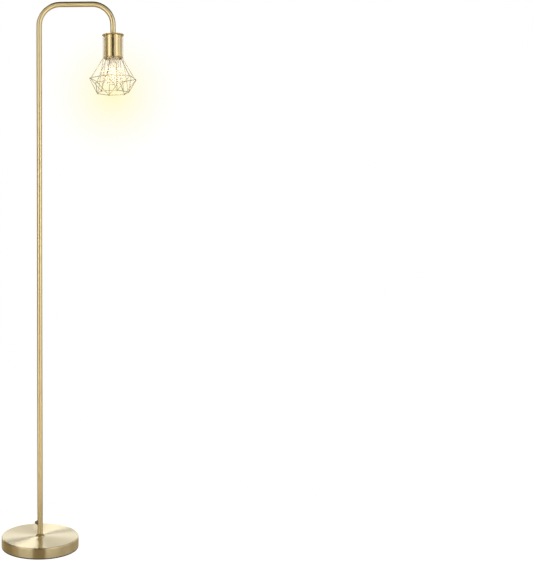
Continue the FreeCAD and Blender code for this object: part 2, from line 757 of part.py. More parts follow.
def make_terminal_screws():
    """Two cheese-head screws on top of the ceramic, in one node."""
    screws = []
    for side in TERMINAL_SIDES:
        seat = Vector(side * size.screw_spacing.number / 2, 0, 0)
        head = Part.makeCylinder(size.screw_head_diameter.number / 2,
                                 size.screw_head_height.number, seat)
        shank = Part.makeCylinder(size.rivet_diameter.number / 2,
                                  size.screw_shank_length.number, seat, Vector(0, 0, -1))
        screws.append(head.fuse(shank).removeSplitter())
    shaped("socket_terminal_screws", Part.makeCompound(screws), head_axis.number,
           (cage_datum + socket_top).number)


# ------------------------------------------------------------------ the welded wire cage

def make_cage():
    """A round top plate, a wire down from it to each ring corner, a ring at the neck, two
    hexagon rings, and one zigzag wire that laces the two hexagons together.  Wires lie
    side by side where they are welded, and never through each other."""
    turned("cage_top_plate", [
        (stud_hole, 0),
        (size.cage_top_diameter / 2, 0, size.cage_top_edge_radius),
        (size.cage_top_diameter / 2, size.cage_top_thickness, size.cage_top_edge_radius),
        (stud_hole, size.cage_top_thickness)], x=head_axis, z=cage_datum)

    ring = Part.makeTorus(size.neck_radius.number - weld_pitch(),
                          size.wire_diameter.number / 2)
    ring_height = cage_datum - size.neck_drop + size.neck_ring_rise
    shaped("cage_neck_ring", ring, head_axis.number, ring_height.number)

    sides = round(size.cage_sides.number)
    step = FULL_TURN / sides
    first = size.cage_turn.number
    middle = ring_corner(size.middle_radius, size.middle_drop)
    bottom = ring_corner(size.bottom_radius, size.bottom_drop)
    for index in range(sides):
        bearing = first + step * index
        make_cage_wire(f"cage_middle_wire_{index + 1}", middle, size.middle_stub, bearing)
        make_cage_wire(f"cage_bottom_wire_{index + 1}", bottom, size.bottom_stub,
                       bearing + step / 2)
    make_ring("cage_middle_ring", middle, first, sides)
    make_ring("cage_bottom_ring", bottom, first + step / 2, sides)
    make_zigzag(middle, bottom, sides)


def ring_corner(radius, drop):
    """The middle of a ring's corner bend, in the corner's own upright plane."""
    return Vector(radius.number, 0, -drop.number)


def weld_pitch():
    """Distance between the centre lines of two wires welded side by side."""
    return (size.wire_diameter + size.weld_gap).number


def place_on_cage(name, shape, bearing=0.0):
    """A cage wire, drawn round the head's axis from the underside of the top plate."""
    shaped(name, shape, head_axis.number, cage_datum.number, bearing)


def make_cage_wire(name, corner, stub, bearing):
    """A wire from the top plate: down beside the cup, out from the kink at the neck, and
    past the inner side of its ring's corner, with a short stub."""
    top = Vector(size.neck_radius.number, 0, 0)
    kink = Vector(size.neck_radius.number, 0, -size.neck_drop.number)
    reach = corner - kink
    lean = math.asin(weld_pitch() / reach.Length)
    run = reach.Length * math.cos(lean) + stub.number
    slope = Rotation(Vector(0, 1, 0), math.degrees(lean)).multVec(reach).normalize()
    wire = bent_wire([top, kink, kink + slope * run],
                     [None, size.neck_bend_radius.number, None],
                     size.wire_diameter.number / 2, closed=False)
    place_on_cage(name, wire, bearing)


def make_ring(name, corner, bearing, sides):
    """A closed ring with as many straight sides, and a bend at each corner."""
    bend = size.ring_bend_radius.number
    sharp_radius = corner.x + bend * (1 / math.cos(math.pi / sides) - 1)
    corners = [polar(sharp_radius, FULL_TURN / sides * index, corner.z)
               for index in range(sides)]
    wire = bent_wire(corners, [bend] * sides, size.wire_diameter.number / 2, closed=True)
    place_on_cage(name, wire, bearing)


def laced_corners(top, foot, step):
    """The two sharp corners of a wire laced up and down round an axis, such that the
    middles of its bends come to the given places.  top and foot are (place, radius), and
    step is the angle from one upper bend to the next."""
    places = [top[0], foot[0]]
    corners = list(places)
    for _settle in range(LACING_STEPS):
        for index, (place, radius) in enumerate((top, foot)):
            other = corners[1 - index]
            _start, _finish, middle, _centre, _turn = bend_points(
                polar(other.x, -step / 2, other.z), corners[index],
                polar(other.x, step / 2, other.z), radius)
            corners[index] = corners[index] + place - middle
    return corners


def make_zigzag(middle, bottom, sides):
    """The closed zigzag wire.  Its upper bends lie against the lower outer side of the
    middle ring's corners, and its lower bends on top of the bottom ring's corners."""
    step = FULL_TURN / sides
    top_side = math.radians(size.zigzag_top_weld.number)
    foot_side = math.radians(size.zigzag_foot_weld.number)
    top = middle + Vector(math.cos(top_side), 0, -math.sin(top_side)) * weld_pitch()
    foot = bottom + Vector(math.cos(foot_side), 0, math.sin(foot_side)) * weld_pitch()
    bends = (size.zigzag_top_bend.number, size.zigzag_foot_bend.number)
    upper, lower = laced_corners((top, bends[0]), (foot, bends[1]), step)
    corners = []
    for index in range(sides):
        corners.append(polar(upper.x, step * index, upper.z))
        corners.append(polar(lower.x, step * (index + 1 / 2), lower.z))
    wire = bent_wire(corners, list(bends) * sides, size.wire_diameter.number / 2,
                     closed=True)
    place_on_cage("cage_zigzag_wire", wire, size.cage_turn.number)


# ------------------------------------------------------------------------------ the bulb

def bulb_profile(inset):
    """The glass from inside the screw cap to its lowest point, moved inwards by inset:
    throat, shoulder, straight neck, hollow curve and round globe, each touching the next.
    Heights are counted from the tip of the contact."""
    throat = size.bulb_throat_diameter.number / 2 - inset
    neck = size.bulb_neck_diameter.number / 2 - inset
    globe = size.bulb_diameter.number / 2 - inset
    shoulder = size.bulb_shoulder_radius.number - inset
    hollow = size.bulb_neck_bend.number + inset
    fillet = neck - throat - shoulder
    shoulder_foot = -size.bulb_shoulder_drop.number
    throat_foot = shoulder_foot + shoulder + fillet
    throat_top = (size.bulb_cap_lap - size.bulb_cap_length).number
    lowest = -size.bulb_length.number + inset
    centre = Vector(0, 0, lowest + globe)
    rise = math.sqrt((globe + hollow) ** 2 - (neck + hollow) ** 2)
    hollow_centre = Vector(neck + hollow, 0, centre.z + rise)
    touch = centre + (hollow_centre - centre).normalize() * globe
    return [
        Part.LineSegment(Vector(throat, 0, throat_top), Vector(throat, 0, throat_foot)),
        quarter(Vector(throat + fillet, 0, throat_foot), fillet, 180),
        quarter(Vector(neck - shoulder, 0, shoulder_foot), shoulder, 0),
        Part.LineSegment(Vector(neck, 0, shoulder_foot), Vector(neck, 0, hollow_centre.z)),
        arc_about(hollow_centre, Vector(neck, 0, hollow_centre.z), touch),
        arc_about(centre, touch, Vector(0, 0, lowest)),
    ]


def quarter(centre, radius, bearing):
    """A quarter circle in the upright plane, between the level point at the bearing and
    the point towards the bulb's shoulder."""
    side = -1 if bearing else 1
    level = centre + Vector(side * radius, 0, 0)
    upright = centre + Vector(0, 0, side * radius)
    return arc_about(centre, level, upright)


def arc_about(centre, start, finish):
    """The shorter arc from start to finish about a centre."""
    radius = (start - centre).Length
    middle = centre + (start + finish - centre * 2).normalize() * radius
    return Part.Arc(start, middle, finish)


def make_bulb_glass():
    """The thin clear envelope."""
    outside = bulb_profile(0.0)
    inside = bulb_profile(size.bulb_wall.number)
    edges = [curve.toShape() for curve in outside + inside]
    edges.append(Part.makeLine(outside[0].StartPoint, inside[0].StartPoint))
    edges.append(Part.makeLine(outside[-1].EndPoint, inside[-1].EndPoint))
    section = Part.Face(Part.Wire(Part.sortEdges(edges)[0]))
    glass = section.revolve(Vector(), Vector(0, 0, 1), FULL_TURN)
    shaped("bulb_glass", glass, head_axis.number, (cage_datum + bulb_tip).number)


def make_bulb_cap():
    """Screw cap, its glass insulator and the solder contact."""
    here = {"x": head_axis, "z": cage_datum + bulb_tip}
    insulator_top = -size.bulb_tip_height
    cap_top = insulator_top - size.insulator_height
    cap_underside = cap_top - size.bulb_cap_wall
    flange_foot = cap_underside - size.insulator_flange
    tip_radius = size.bulb_tip_diameter / 2
    insulator_radius = size.insulator_diameter / 2
    cap_radius = size.bulb_cap_diameter / 2
    turned("bulb_contact", [
        (0, insulator_top),
        (tip_radius, insulator_top),
        (tip_radius, 0, size.bulb_tip_edge_radius),
        (0, 0)], **here)
    turned("bulb_insulator", [
        (0, insulator_top),
        (tip_radius, insulator_top),
        (insulator_radius - size.thread_play, cap_top),
        (insulator_radius - size.thread_play, cap_underside),
        (size.insulator_flange_diameter / 2, cap_underside),
        (size.insulator_flange_diameter / 2, flange_foot),
        (0, flange_foot)], **here)
    turned("bulb_screw_cap", [
        (insulator_radius, cap_top),
        (cap_radius, cap_top, size.bulb_cap_chamfer),
        (cap_radius, -size.bulb_cap_length),
        (cap_radius - size.bulb_cap_wall, -size.bulb_cap_length),
        (cap_radius - size.bulb_cap_wall, cap_underside,
         size.bulb_cap_chamfer - size.bulb_cap_wall),
        (insulator_radius, cap_underside)], **here)


def make_bulb_mount():
    """The glass stem sealed into the throat, with the rod that carries the hooks."""
    stem_top = size.bulb_cap_lap - size.bulb_cap_length
    flare_radius = size.bulb_throat_diameter / 2 - size.bulb_wall - size.thread_play
    stem_radius = size.stem_diameter / 2
    rod_radius = size.rod_diameter / 2
    turned("bulb_stem", [
        (0, stem_top),
        (flare_radius, stem_top),
        (flare_radius, stem_top - size.bulb_wall),
        (stem_radius, stem_top - size.stem_taper, size.stem_bend),
        (stem_radius, size.stem_taper - size.stem_drop, size.stem_bend),
        (size.rod_diameter, -size.stem_drop),
        (rod_radius, -size.stem_drop),
        (rod_radius, -size.filament_foot_drop - size.rod_diameter),
        (0, -size.filament_foot_drop - size.rod_diameter)],
        x=head_axis, z=cage_datum + bulb_tip)


def make_filament():
    """The filament, laced up and down over a crown of hooks on the rod, and the two wires
    that lead it in from the stem."""
    turns = round(size.filament_turns.number)
    step = FULL_TURN / (turns + 1)
    radius = size.filament_radius.number
    hook_radius = size.hook_diameter.number / 2
    bend = hook_radius + (size.filament_diameter / 2 + size.hook_gap).number
    top = Vector(radius, 0, -size.filament_top_drop.number)
    foot = Vector(radius, 0, -size.filament_foot_drop.number)
    laced = laced_corners((top, bend), (foot, bend), step * 2)
    ends = [top, *[laced[index % 2] for index in range(1, turns - 1)], top]
    corners = [polar(place.x, step * index, place.z) for index, place in enumerate(ends)]
    wire = bent_wire(corners, [bend] * turns, size.filament_diameter.number / 2,
                     closed=False)
    bulb_place = (head_axis.number, (cage_datum + bulb_tip).number)
    shaped("bulb_filament", wire, *bulb_place)

    hooks = []
    rod_side = (size.rod_diameter / 2 + size.hook_gap).number
    for index in range(1, turns - 1):
        middle = (top, foot)[index % 2]
        height = middle.z - bend if middle is top else middle.z + bend
        start = polar(rod_side, step * index, height)
        tip = polar(radius + size.filament_diameter.number, step * index, height)
        hooks.append(Part.makeCylinder(hook_radius, (tip - start).Length, start,
                                       tip - start))
    for corner, index in ((corners[0], 0), (corners[-1], turns - 1)):
        start = polar(size.rod_diameter.number, step * index,
                      -(size.stem_drop + size.hook_gap).number)
        heading = corner - start
        length = heading.Length - hook_radius - size.filament_diameter.number
        hooks.append(Part.makeCylinder(hook_radius, length, start, heading))
    shaped("bulb_support_wires", Part.makeCompound(hooks), *bulb_place)


# ---------------------------------------------------------------- build, check and write

def check_document():
    """Stops the build if any object of the document has failed."""
    doc.recompute()
    for item in doc.Objects:
        if {"Invalid", "Error"} & set(item.State):
            raise RuntimeError(f"{item.Label} has failed: {item.State}")


def write_pieces():
    """Checks each piece's shape and writes it to a file of its own."""
    os.makedirs(PARTS_FOLDER, exist_ok=True)
    pieces = [item for item in doc.Objects
              if item.TypeId in ("PartDesign::Body", "Part::Feature")]
    for piece in pieces:
        shape = piece.Shape
        if shape.isNull() or not shape.isValid() or not shape.Solids:
            raise RuntimeError(f"{piece.Label} has no valid solid")
        shape.exportStep(os.path.join(PARTS_FOLDER, f"{piece.Label}.step"))
        print(f"{piece.Label}: {len(shape.Solids)} solid(s), {shape.Volume:.1f} mm3")


def main():
    make_base()
    make_flange()
    make_pole()
    make_bushing()
    make_arch()
    make_lead()
    make_cup()
    make_socket()
    make_cage()
    make_bulb_cap()
    make_bulb_glass()
    make_bulb_mount()
    make_filament()
    check_document()
    write_pieces()


main()
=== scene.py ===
"""The looks of an arched floor lamp with a welded wire cage: its finishes, the welds and
rolled threads that the solids leave out, the studio round it, and the camera.

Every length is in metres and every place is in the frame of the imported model: the origin
is the middle of the base on the floor, +Z is up, and the arch reaches along +X.
"""
from __future__ import annotations

import json
import logging
import math
from dataclasses import dataclass
from enum import Enum
from typing import Callable, Iterable, Sequence

import bmesh
import bpy
from mathutils import Matrix, Vector, noise

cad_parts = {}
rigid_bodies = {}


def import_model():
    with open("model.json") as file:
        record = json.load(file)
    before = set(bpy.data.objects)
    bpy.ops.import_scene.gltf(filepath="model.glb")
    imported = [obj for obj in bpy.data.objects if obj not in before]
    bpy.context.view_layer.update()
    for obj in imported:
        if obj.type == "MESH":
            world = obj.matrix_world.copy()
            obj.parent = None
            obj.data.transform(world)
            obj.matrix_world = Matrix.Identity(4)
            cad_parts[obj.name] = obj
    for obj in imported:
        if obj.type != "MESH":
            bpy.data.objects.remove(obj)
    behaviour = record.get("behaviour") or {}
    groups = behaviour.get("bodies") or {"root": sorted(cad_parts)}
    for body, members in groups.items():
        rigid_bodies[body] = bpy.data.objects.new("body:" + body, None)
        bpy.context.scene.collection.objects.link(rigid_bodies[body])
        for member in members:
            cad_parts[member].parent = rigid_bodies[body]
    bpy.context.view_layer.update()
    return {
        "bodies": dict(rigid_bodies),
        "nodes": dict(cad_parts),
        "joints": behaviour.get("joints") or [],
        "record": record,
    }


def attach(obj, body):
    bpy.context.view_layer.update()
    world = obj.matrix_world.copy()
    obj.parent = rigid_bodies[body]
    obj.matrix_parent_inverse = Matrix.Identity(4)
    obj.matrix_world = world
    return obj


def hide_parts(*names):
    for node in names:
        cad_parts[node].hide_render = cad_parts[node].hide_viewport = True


LOG = logging.getLogger("wire_cage_lamp")
MM = 0.001

Colour = tuple[float, float, float]
Socket = bpy.types.NodeSocket


# ------------------------------------------------------------------------- shared sizes

@dataclass(frozen=True)
class LampSizes:
    """The places on the lamp that the finishes and the small pieces need."""

    head_x: float = 218 * MM
    cage_z: float = 1511.4 * MM
    bulb_tip_z: float = 1474.4 * MM
    arch_z: float = 1604 * MM
    bend: float = 62 * MM
    well_bottom_z: float = 1477.4 * MM
    pole_foot_z: float = 34 * MM
    section: float = 452 * MM


SIZES = LampSizes()


class Body(Enum):
    """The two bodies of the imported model."""

    LAMP = "lamp"
    BULB = "bulb"


class Brushing(Enum):
    """Which way the fine polishing lines of a metal piece run."""

    ROUND_POLE = "round the pole's axis"
    ROUND_HEAD = "round the head's axis"
    ROUND_ARCH = "round the bent tube"
    NONE = "no lines"


# ------------------------------------------------------------------------ node plumbing

class Board:
    """One node tree, with short ways to add nodes and join them."""

    def __init__(self, owner: bpy.types.Material | bpy.types.World) -> None:
        """Starts the nodes afresh.

        Args:
            owner: The material, or the world, that the nodes belong to.
        """
        owner.use_nodes = True
        self.owner = owner
        self.tree = owner.node_tree
        self.tree.nodes.clear()

    def add(self, kind: str, **inputs: object) -> bpy.types.Node:
        """Adds a node and fills its inputs.

        Args:
            kind: The node's type, without the leading ShaderNode.
            inputs: Values or sockets by input name, with _ for a space.

        Returns:
            The new node.
        """
        node = self.tree.nodes.new(f"ShaderNode{kind}")
        for name, value in inputs.items():
            self.feed(node.inputs[name.replace("_", " ")], value)
        return node

    def feed(self, target: Socket, value: object) -> None:
        """Fills an input.

        Args:
            target: The input.
            value: A socket to join to it, or a plain value to write into it.
        """
        if isinstance(value, bpy.types.NodeSocket):
            self.tree.links.new(value, target)
        else:
            target.default_value = value

    def math(self, operation: str, first: object, second: object = 0.0) -> Socket:
        """Adds one step of arithmetic.

        Args:
            operation: The node's operation.
            first: The first number or socket.
            second: The second one, where the operation has two.

        Returns:
            The result.
        """
        node = self.tree.nodes.new("ShaderNodeMath")
        node.operation = operation
        self.feed(node.inputs[0], first)
        self.feed(node.inputs[1], second)
        return node.outputs[0]

    def vector(self, x: object, y: object, z: object) -> Socket:
        """Returns a vector made of three numbers or sockets."""
        return self.add("CombineXYZ", X=x, Y=y, Z=z).outputs[0]

    def cross(self, first: Socket, second: Socket) -> Socket:
        """Adds the cross product of two vectors.

        Args:
            first: The vector before the sign.
            second: The vector after it.

        Returns:
            The vector square to both.
        """
        node = self.tree.nodes.new("ShaderNodeVectorMath")
        node.operation = "CROSS_PRODUCT"
        self.feed(node.inputs[0], first)
        self.feed(node.inputs[1], second)
        return node.outputs[0]

    def noise(self, where: Socket, scale: float, detail: float = 2.0) -> Socket:
        """Adds smooth noise.

        Args:
            where: The place that it is read at.
            scale: How fine it is, in spots a metre.
            detail: How many finer layers it holds.

        Returns:
            A number from 0 to 1.
        """
        node = self.add("TexNoise", Vector=where, Scale=scale, Detail=detail)
        return node.outputs["Fac"]

    def between(self, amount: Socket, low: float, high: float) -> Socket:
        """Returns a number that goes from low to high as amount goes from 0 to 1."""
        return self.add("MapRange", Value=amount, To_Min=low, To_Max=high).outputs[0]

    def blend(self, amount: Socket, first: Colour, second: Colour) -> Socket:
        """Adds a blend of two colours.

        Args:
            amount: How far it has gone from the first to the second, from 0 to 1.
            first: The colour at 0.
            second: The colour at 1.

        Returns:
            The colour between them.
        """
        node = self.tree.nodes.new("ShaderNodeMix")
        node.data_type = "RGBA"
        self.feed(node.inputs["Factor"], amount)
        colours = [item for item in node.inputs if item.type == "RGBA"]
        for socket, colour in zip(colours, (first, second)):
            socket.default_value = (*colour, 1.0)
        return next(item for item in node.outputs if item.type == "RGBA")

    def bump(self, height: Socket, strength: float, depth: float) -> Socket:
        """Returns a normal roughened by a height."""
        node = self.add("Bump", Height=height, Strength=strength, Distance=depth)
        return node.outputs[0]

    def mix(self, amount: Socket, first: bpy.types.Node, second: bpy.types.Node) -> Socket:
        """Adds a mix of two shaders.

        Args:
            amount: The share of the second, from 0 to 1.
            first: The node of the one shader.
            second: The node of the other.

        Returns:
            The mixed shader.
        """
        node = self.add("MixShader", Fac=amount)
        self.feed(node.inputs[1], first.outputs[0])
        self.feed(node.inputs[2], second.outputs[0])
        return node.outputs[0]

    def principled(self, **inputs: object) -> bpy.types.Node:
        """Adds the main shader and joins it to the material's surface.

        Args:
            inputs: Values or sockets by input name, with _ for a space.

        Returns:
            The shader's node.
        """
        shader = self.add("BsdfPrincipled", **inputs)
        self.show(shader.outputs[0])
        return shader

    def show(self, surface: Socket) -> None:
        """Joins a shader to the surface of the material, or of the world."""
        kind = "OutputWorld" if isinstance(self.owner, bpy.types.World) else "OutputMaterial"
        self.feed(self.add(kind).inputs["Surface"], surface)


def split(board: Board, vector: Socket) -> tuple[Socket, Socket, Socket]:
    """Returns the three numbers of a vector."""
    node = board.add("SeparateXYZ", Vector=vector)
    return node.outputs[0], node.outputs[1], node.outputs[2]


def darker(colour: Colour, share: float) -> Colour:
    """Returns a colour with part of its light taken away."""
    return tuple(channel * (1 - share) for channel in colour)


# ----------------------------------------------------------------------------- finishes

@dataclass(frozen=True)
class BrushedMetal:
    """Satin metal with fine polishing lines, which stretch its highlights across them."""

    name: str
    colour: Colour
    brushing: Brushing = Brushing.NONE
    roughness: float = 0.27
    stretch: float = 0.75
    line_scale: float = 1400.0
    line_depth: float = 0.00003
    mottle: float = 0.10
    lacquer: float = 0.0
    seam_every: float = 0.0
    seam: float = 0.3 * MM
    seam_weight: float = 6.0
    line_share: float = 0.6
    line_detail: float = 3.0
    line_strength: float = 0.35
    line_drift: float = 0.02
    cloud_scale: float = 22.0
    smoothest: float = -0.01
    roughest: float = 0.03
    lacquer_roughness: float = 0.12

    def build(self) -> bpy.types.Material:
        """Returns the finish as a material."""
        board = Board(bpy.data.materials.new(self.name))
        place = board.add("TexCoord").outputs["Object"]
        along, lines_at = self._directions(board, place)
        lines = board.noise(lines_at, self.line_scale, self.line_detail)
        cloud = board.noise(place, self.cloud_scale)
        amount = board.math("ADD", board.math("MULTIPLY", lines, self.line_share),
                            board.math("MULTIPLY", cloud, 1.0 - self.line_share))
        if self.seam_every:
            amount = self._with_seams(board, place, amount)
        shader = board.principled(
            Base_Color=board.blend(amount, self.colour, darker(self.colour, self.mottle)),
            Metallic=1.0,
            Roughness=board.between(lines, self.roughness + self.smoothest,
                                    self.roughness + self.roughest),
            Normal=board.bump(lines, self.line_strength, self.line_depth),
            Coat_Weight=self.lacquer,
            Coat_Roughness=self.lacquer_roughness)
        if along is not None:
            board.feed(shader.inputs["Anisotropic"], self.stretch)
            board.feed(shader.inputs["Tangent"], along)
        return board.owner

    def _with_seams(self, board: Board, place: Socket, amount: Socket) -> Socket:
        """Darkens a hairline where one section of the pole meets the next.

        Args:
            board: The material's nodes.
            place: The place on the surface.
            amount: How far the plain colour is from its lightest, from 0 to 1.

        Returns:
            The same amount, and far more on the hairlines.
        """
        _x, _y, z = split(board, place)
        up = board.math("SUBTRACT", z, SIZES.pole_foot_z)
        off = board.math("PINGPONG", up, self.seam_every / 2)
        line = board.math("LESS_THAN", off, self.seam)
        return board.math("ADD", amount, board.math("MULTIPLY", line, self.seam_weight))

    def _directions(self, board: Board, place: Socket) -> tuple[Socket | None, Socket]:
        """Works out how the polishing lines lie.

        Args:
            board: The material's nodes.
            place: The place on the surface.

        Returns:
            The direction across the lines, or None where there are none, and the place
            that their noise is read at, which hardly changes along a line.
        """
        if self.brushing is Brushing.NONE:
            return None, place
        x, y, z = split(board, place)
        if self.brushing is Brushing.ROUND_ARCH:
            inner_x = board.math("MINIMUM", board.math("MAXIMUM", x, SIZES.bend),
                                 SIZES.head_x - SIZES.bend)
            inner_z = board.math("MINIMUM", z, SIZES.arch_z - SIZES.bend)
            out_x = board.math("SUBTRACT", x, inner_x)
            out_z = board.math("SUBTRACT", z, inner_z)
            turn = board.math("MULTIPLY", board.math("ARCTAN2", out_z, out_x), SIZES.bend)
            across = board.vector(out_z, 0.0, board.math("MULTIPLY", out_x, -1.0))
            return across, board.vector(inner_x, inner_z, turn)
        axis_x = SIZES.head_x if self.brushing is Brushing.ROUND_HEAD else 0.0
        out_x = board.math("SUBTRACT", x, axis_x)
        round_axis = board.vector(board.math("MULTIPLY", y, -1.0), out_x, 0.0)
        normal = board.add("NewGeometry").outputs["Normal"]
        squares = board.math("ADD", board.math("MULTIPLY", out_x, out_x),
                             board.math("MULTIPLY", y, y))
        radius = board.math("SQRT", squares)
        turn = board.math("MULTIPLY", board.math("ARCTAN2", y, out_x), radius)
        slow = board.math("MULTIPLY", turn, self.line_drift)
        return board.cross(round_axis, normal), board.vector(radius, z, slow)


@dataclass(frozen=True)
class PlainFinish:
    """A finish that isn't metal: moulded plastic, rubber foam or glazed ceramic."""

    name: str
    colour: Colour
    roughness: float
    grain: float
    grain_depth: float
    mottle: float = 0.12
    coat: float = 0.0
    sheen: float = 0.0
    blotch: float = 14.0
    grain_detail: float = 3.0
    grain_strength: float = 0.5
    spread: float = 0.05

    def build(self) -> bpy.types.Material:
        """Returns the finish as a material."""
        board = Board(bpy.data.materials.new(self.name))
        place = board.add("TexCoord").outputs["Object"]
        fine = board.noise(place, self.grain, self.grain_detail)
        broad = board.noise(place, self.grain / self.blotch)
        board.principled(
            Base_Color=board.blend(broad, self.colour, darker(self.colour, self.mottle)),
            Roughness=board.between(fine, self.roughness - self.spread,
                                    self.roughness + self.spread),
            Normal=board.bump(fine, self.grain_strength, self.grain_depth),
            Coat_Weight=self.coat,
            Sheen_Weight=self.sheen)
        return board.owner


@dataclass(frozen=True)
class ClearGlass:
    """Thin clear glass with a faint warm tint, which lets the lamp's own light through."""

    name: str
    tint: Colour
    index: float = 1.48
    streak_scale: float = 30.0
    streak_shade: float = 0.02
    streak_roughness: float = 0.02

    def build(self) -> bpy.types.Material:
        """Returns the finish as a material."""
        board = Board(bpy.data.materials.new(self.name))
        place = board.add("TexCoord").outputs["Object"]
        streaks = board.noise(place, self.streak_scale)
        glass = board.add(
            "BsdfPrincipled",
            Base_Color=board.blend(streaks, self.tint, darker(self.tint, self.streak_shade)),
            Roughness=board.between(streaks, 0.0, self.streak_roughness),
            Transmission_Weight=1.0,
            IOR=self.index)
        clear = board.add("BsdfTransparent", Color=(*self.tint, 1.0))
        path = board.add("LightPath")
        passing = board.math("MAXIMUM", path.outputs["Is Shadow Ray"],
                             path.outputs["Is Diffuse Ray"])
        board.show(board.mix(passing, glass, clear))
        return board.owner


@dataclass(frozen=True)
class GlowingWire:
    """A lit filament: hot yellow wire, brighter on the crests of its fine coil."""

    name: str
    colour: Colour
    strength: float
    coil_turns: float = 9000.0
    hollow: float = 0.7
    cooler: float = 0.25

    def build(self) -> bpy.types.Material:
        """Returns the finish as a material."""
        board = Board(bpy.data.materials.new(self.name))
        place = board.add("TexCoord").outputs["Object"]
        _x, _y, z = split(board, place)
        coil = board.math("SINE", board.math("MULTIPLY", z, self.coil_turns))
        crest = board.between(coil, self.hollow, 1.0)
        hot = board.blend(crest, darker(self.colour, self.cooler), self.colour)
        board.principled(Base_Color=hot, Emission_Color=hot, Roughness=crest,
                         Emission_Strength=self.strength)
        return board.owner


BRASS: Colour = (0.88, 0.745, 0.44)
SPUN_BRASS: Colour = (0.93, 0.825, 0.56)
WIRE_BRASS: Colour = (0.80, 0.66, 0.38)

POLE_BRASS = BrushedMetal("brass_pole", BRASS, Brushing.ROUND_POLE, roughness=0.30,
                          stretch=0.95, seam_every=SIZES.section)
ARCH_BRASS = BrushedMetal("brass_arch", BRASS, Brushing.ROUND_ARCH, roughness=0.30,
                          stretch=0.95, seam_every=SIZES.section)
CUP_BRASS = BrushedMetal("brass_cup", BRASS, Brushing.ROUND_HEAD, roughness=0.30,
                         stretch=0.85, line_depth=0.00002)
BASE_BRASS = BrushedMetal("brass_base", SPUN_BRASS, Brushing.ROUND_POLE, roughness=0.31,
                          stretch=1.0, line_scale=900.0, line_depth=0.00002,
                          lacquer=0.15)
FLANGE_BRASS = BrushedMetal("brass_flange", BRASS, Brushing.ROUND_POLE, roughness=0.3)
PLATE_BRASS = BrushedMetal("brass_plate", BRASS, Brushing.ROUND_HEAD, roughness=0.3)
CAGE_BRASS = BrushedMetal("brass_wire", WIRE_BRASS, roughness=0.25, mottle=0.15)
WELD_BRASS = BrushedMetal("brass_weld", darker(WIRE_BRASS, 0.05), roughness=0.38,
                          line_scale=2500.0, line_depth=0.0001, mottle=0.3)
BARE_BRASS = BrushedMetal("brass_contact", (0.80, 0.60, 0.28), Brushing.ROUND_HEAD,
                          roughness=0.2)
STEEL = BrushedMetal("zinc_steel", (0.62, 0.62, 0.60), roughness=0.36, mottle=0.25)
CAST_IRON = BrushedMetal("cast_iron", (0.11, 0.11, 0.11), roughness=0.6,
                         line_scale=700.0, line_depth=0.0004, mottle=0.4)
CAP_METAL = BrushedMetal("bulb_cap_metal", (0.78, 0.77, 0.74), Brushing.ROUND_HEAD,
                         roughness=0.24)
SOLDER = BrushedMetal("solder", (0.55, 0.55, 0.56), roughness=0.42, line_scale=900.0,
                      line_depth=0.0002, mottle=0.25)
HOOK_METAL = BrushedMetal("hook_wire", (0.60, 0.56, 0.50), roughness=0.3)
FOAM = PlainFinish("pad_foam", (0.030, 0.028, 0.026), 0.85, 1500.0, 0.0006, sheen=0.15)
BUSHING = PlainFinish("bushing_plastic", (0.13, 0.11, 0.085), 0.5, 1800.0, 0.0001)
SHEATH = PlainFinish("lead_sheath", (0.55, 0.45, 0.25), 0.45, 900.0, 0.0001)
CORES = PlainFinish("core_insulation", (0.80, 0.80, 0.77), 0.45, 900.0, 0.0001)
CERAMIC = PlainFinish("socket_ceramic", (0.86, 0.85, 0.81), 0.22, 600.0, 0.0001,
                      mottle=0.05, coat=0.8)
BLACK_GLASS = PlainFinish("insulator_glass", (0.012, 0.012, 0.014), 0.12, 700.0, 0.00005,
                          coat=0.6)
BULB_GLASS = ClearGlass("bulb_clear_glass", (0.972, 0.952, 0.90))
FILAMENT = GlowingWire("filament_glow", (1.0, 0.80, 0.46), 1.6)

Finish = BrushedMetal | PlainFinish | ClearGlass | GlowingWire


# ------------------------------------------------------------------------ mesh building

def mesh_object(name: str, build: Callable[[bmesh.types.BMesh], None]) -> bpy.types.Object:
    """Makes an object from a mesh that a function fills.

    Args:
        name: The piece's name.
        build: Adds the piece's faces to an empty mesh.

    Returns:
        The new object, smoothly shaded, in the scene.
    """
    mesh = bpy.data.meshes.new(name)
    work = bmesh.new()
    build(work)
    bmesh.ops.recalc_face_normals(work, faces=work.faces)
    for face in work.faces:
        face.smooth = True
    work.to_mesh(mesh)
    work.free()
    piece = bpy.data.objects.new(name, mesh)
    bpy.context.scene.collection.objects.link(piece)
    return piece


def polar(radius: float, bearing: float, height: float) -> Vector:
    """Returns a place by distance from an upright axis, bearing in degrees and height."""
    turn = math.radians(bearing)
    return Vector((radius * math.cos(turn), radius * math.sin(turn), height))


def lathe_grid(work: bmesh.types.BMesh, steps: int,
               rings: Sequence[Callable[[float], tuple[float, float]]],
               axis: Vector) -> None:
    """Adds a closed surface that goes round an axis ring by ring.

    Args:
        work: The mesh to add to.
        steps: Faces once round.
        rings: Each gives (radius, height) at a turn in radians.  The last joins the first.
        axis: A place on the upright axis.
    """
    grid = []
    for ring in rings:
        row = []
        for step in range(steps):
            turn = math.tau * step / steps
            radius, height = ring(turn)
            row.append(work.verts.new(axis + Vector((radius * math.cos(turn),
                                                     radius * math.sin(turn), height))))
        grid.append(row)
    for index, row in enumerate(grid):
        above = grid[(index + 1) % len(grid)]
        for step in range(steps):
            after = (step + 1) % steps
            work.faces.new((row[step], row[after], above[after], above[step]))


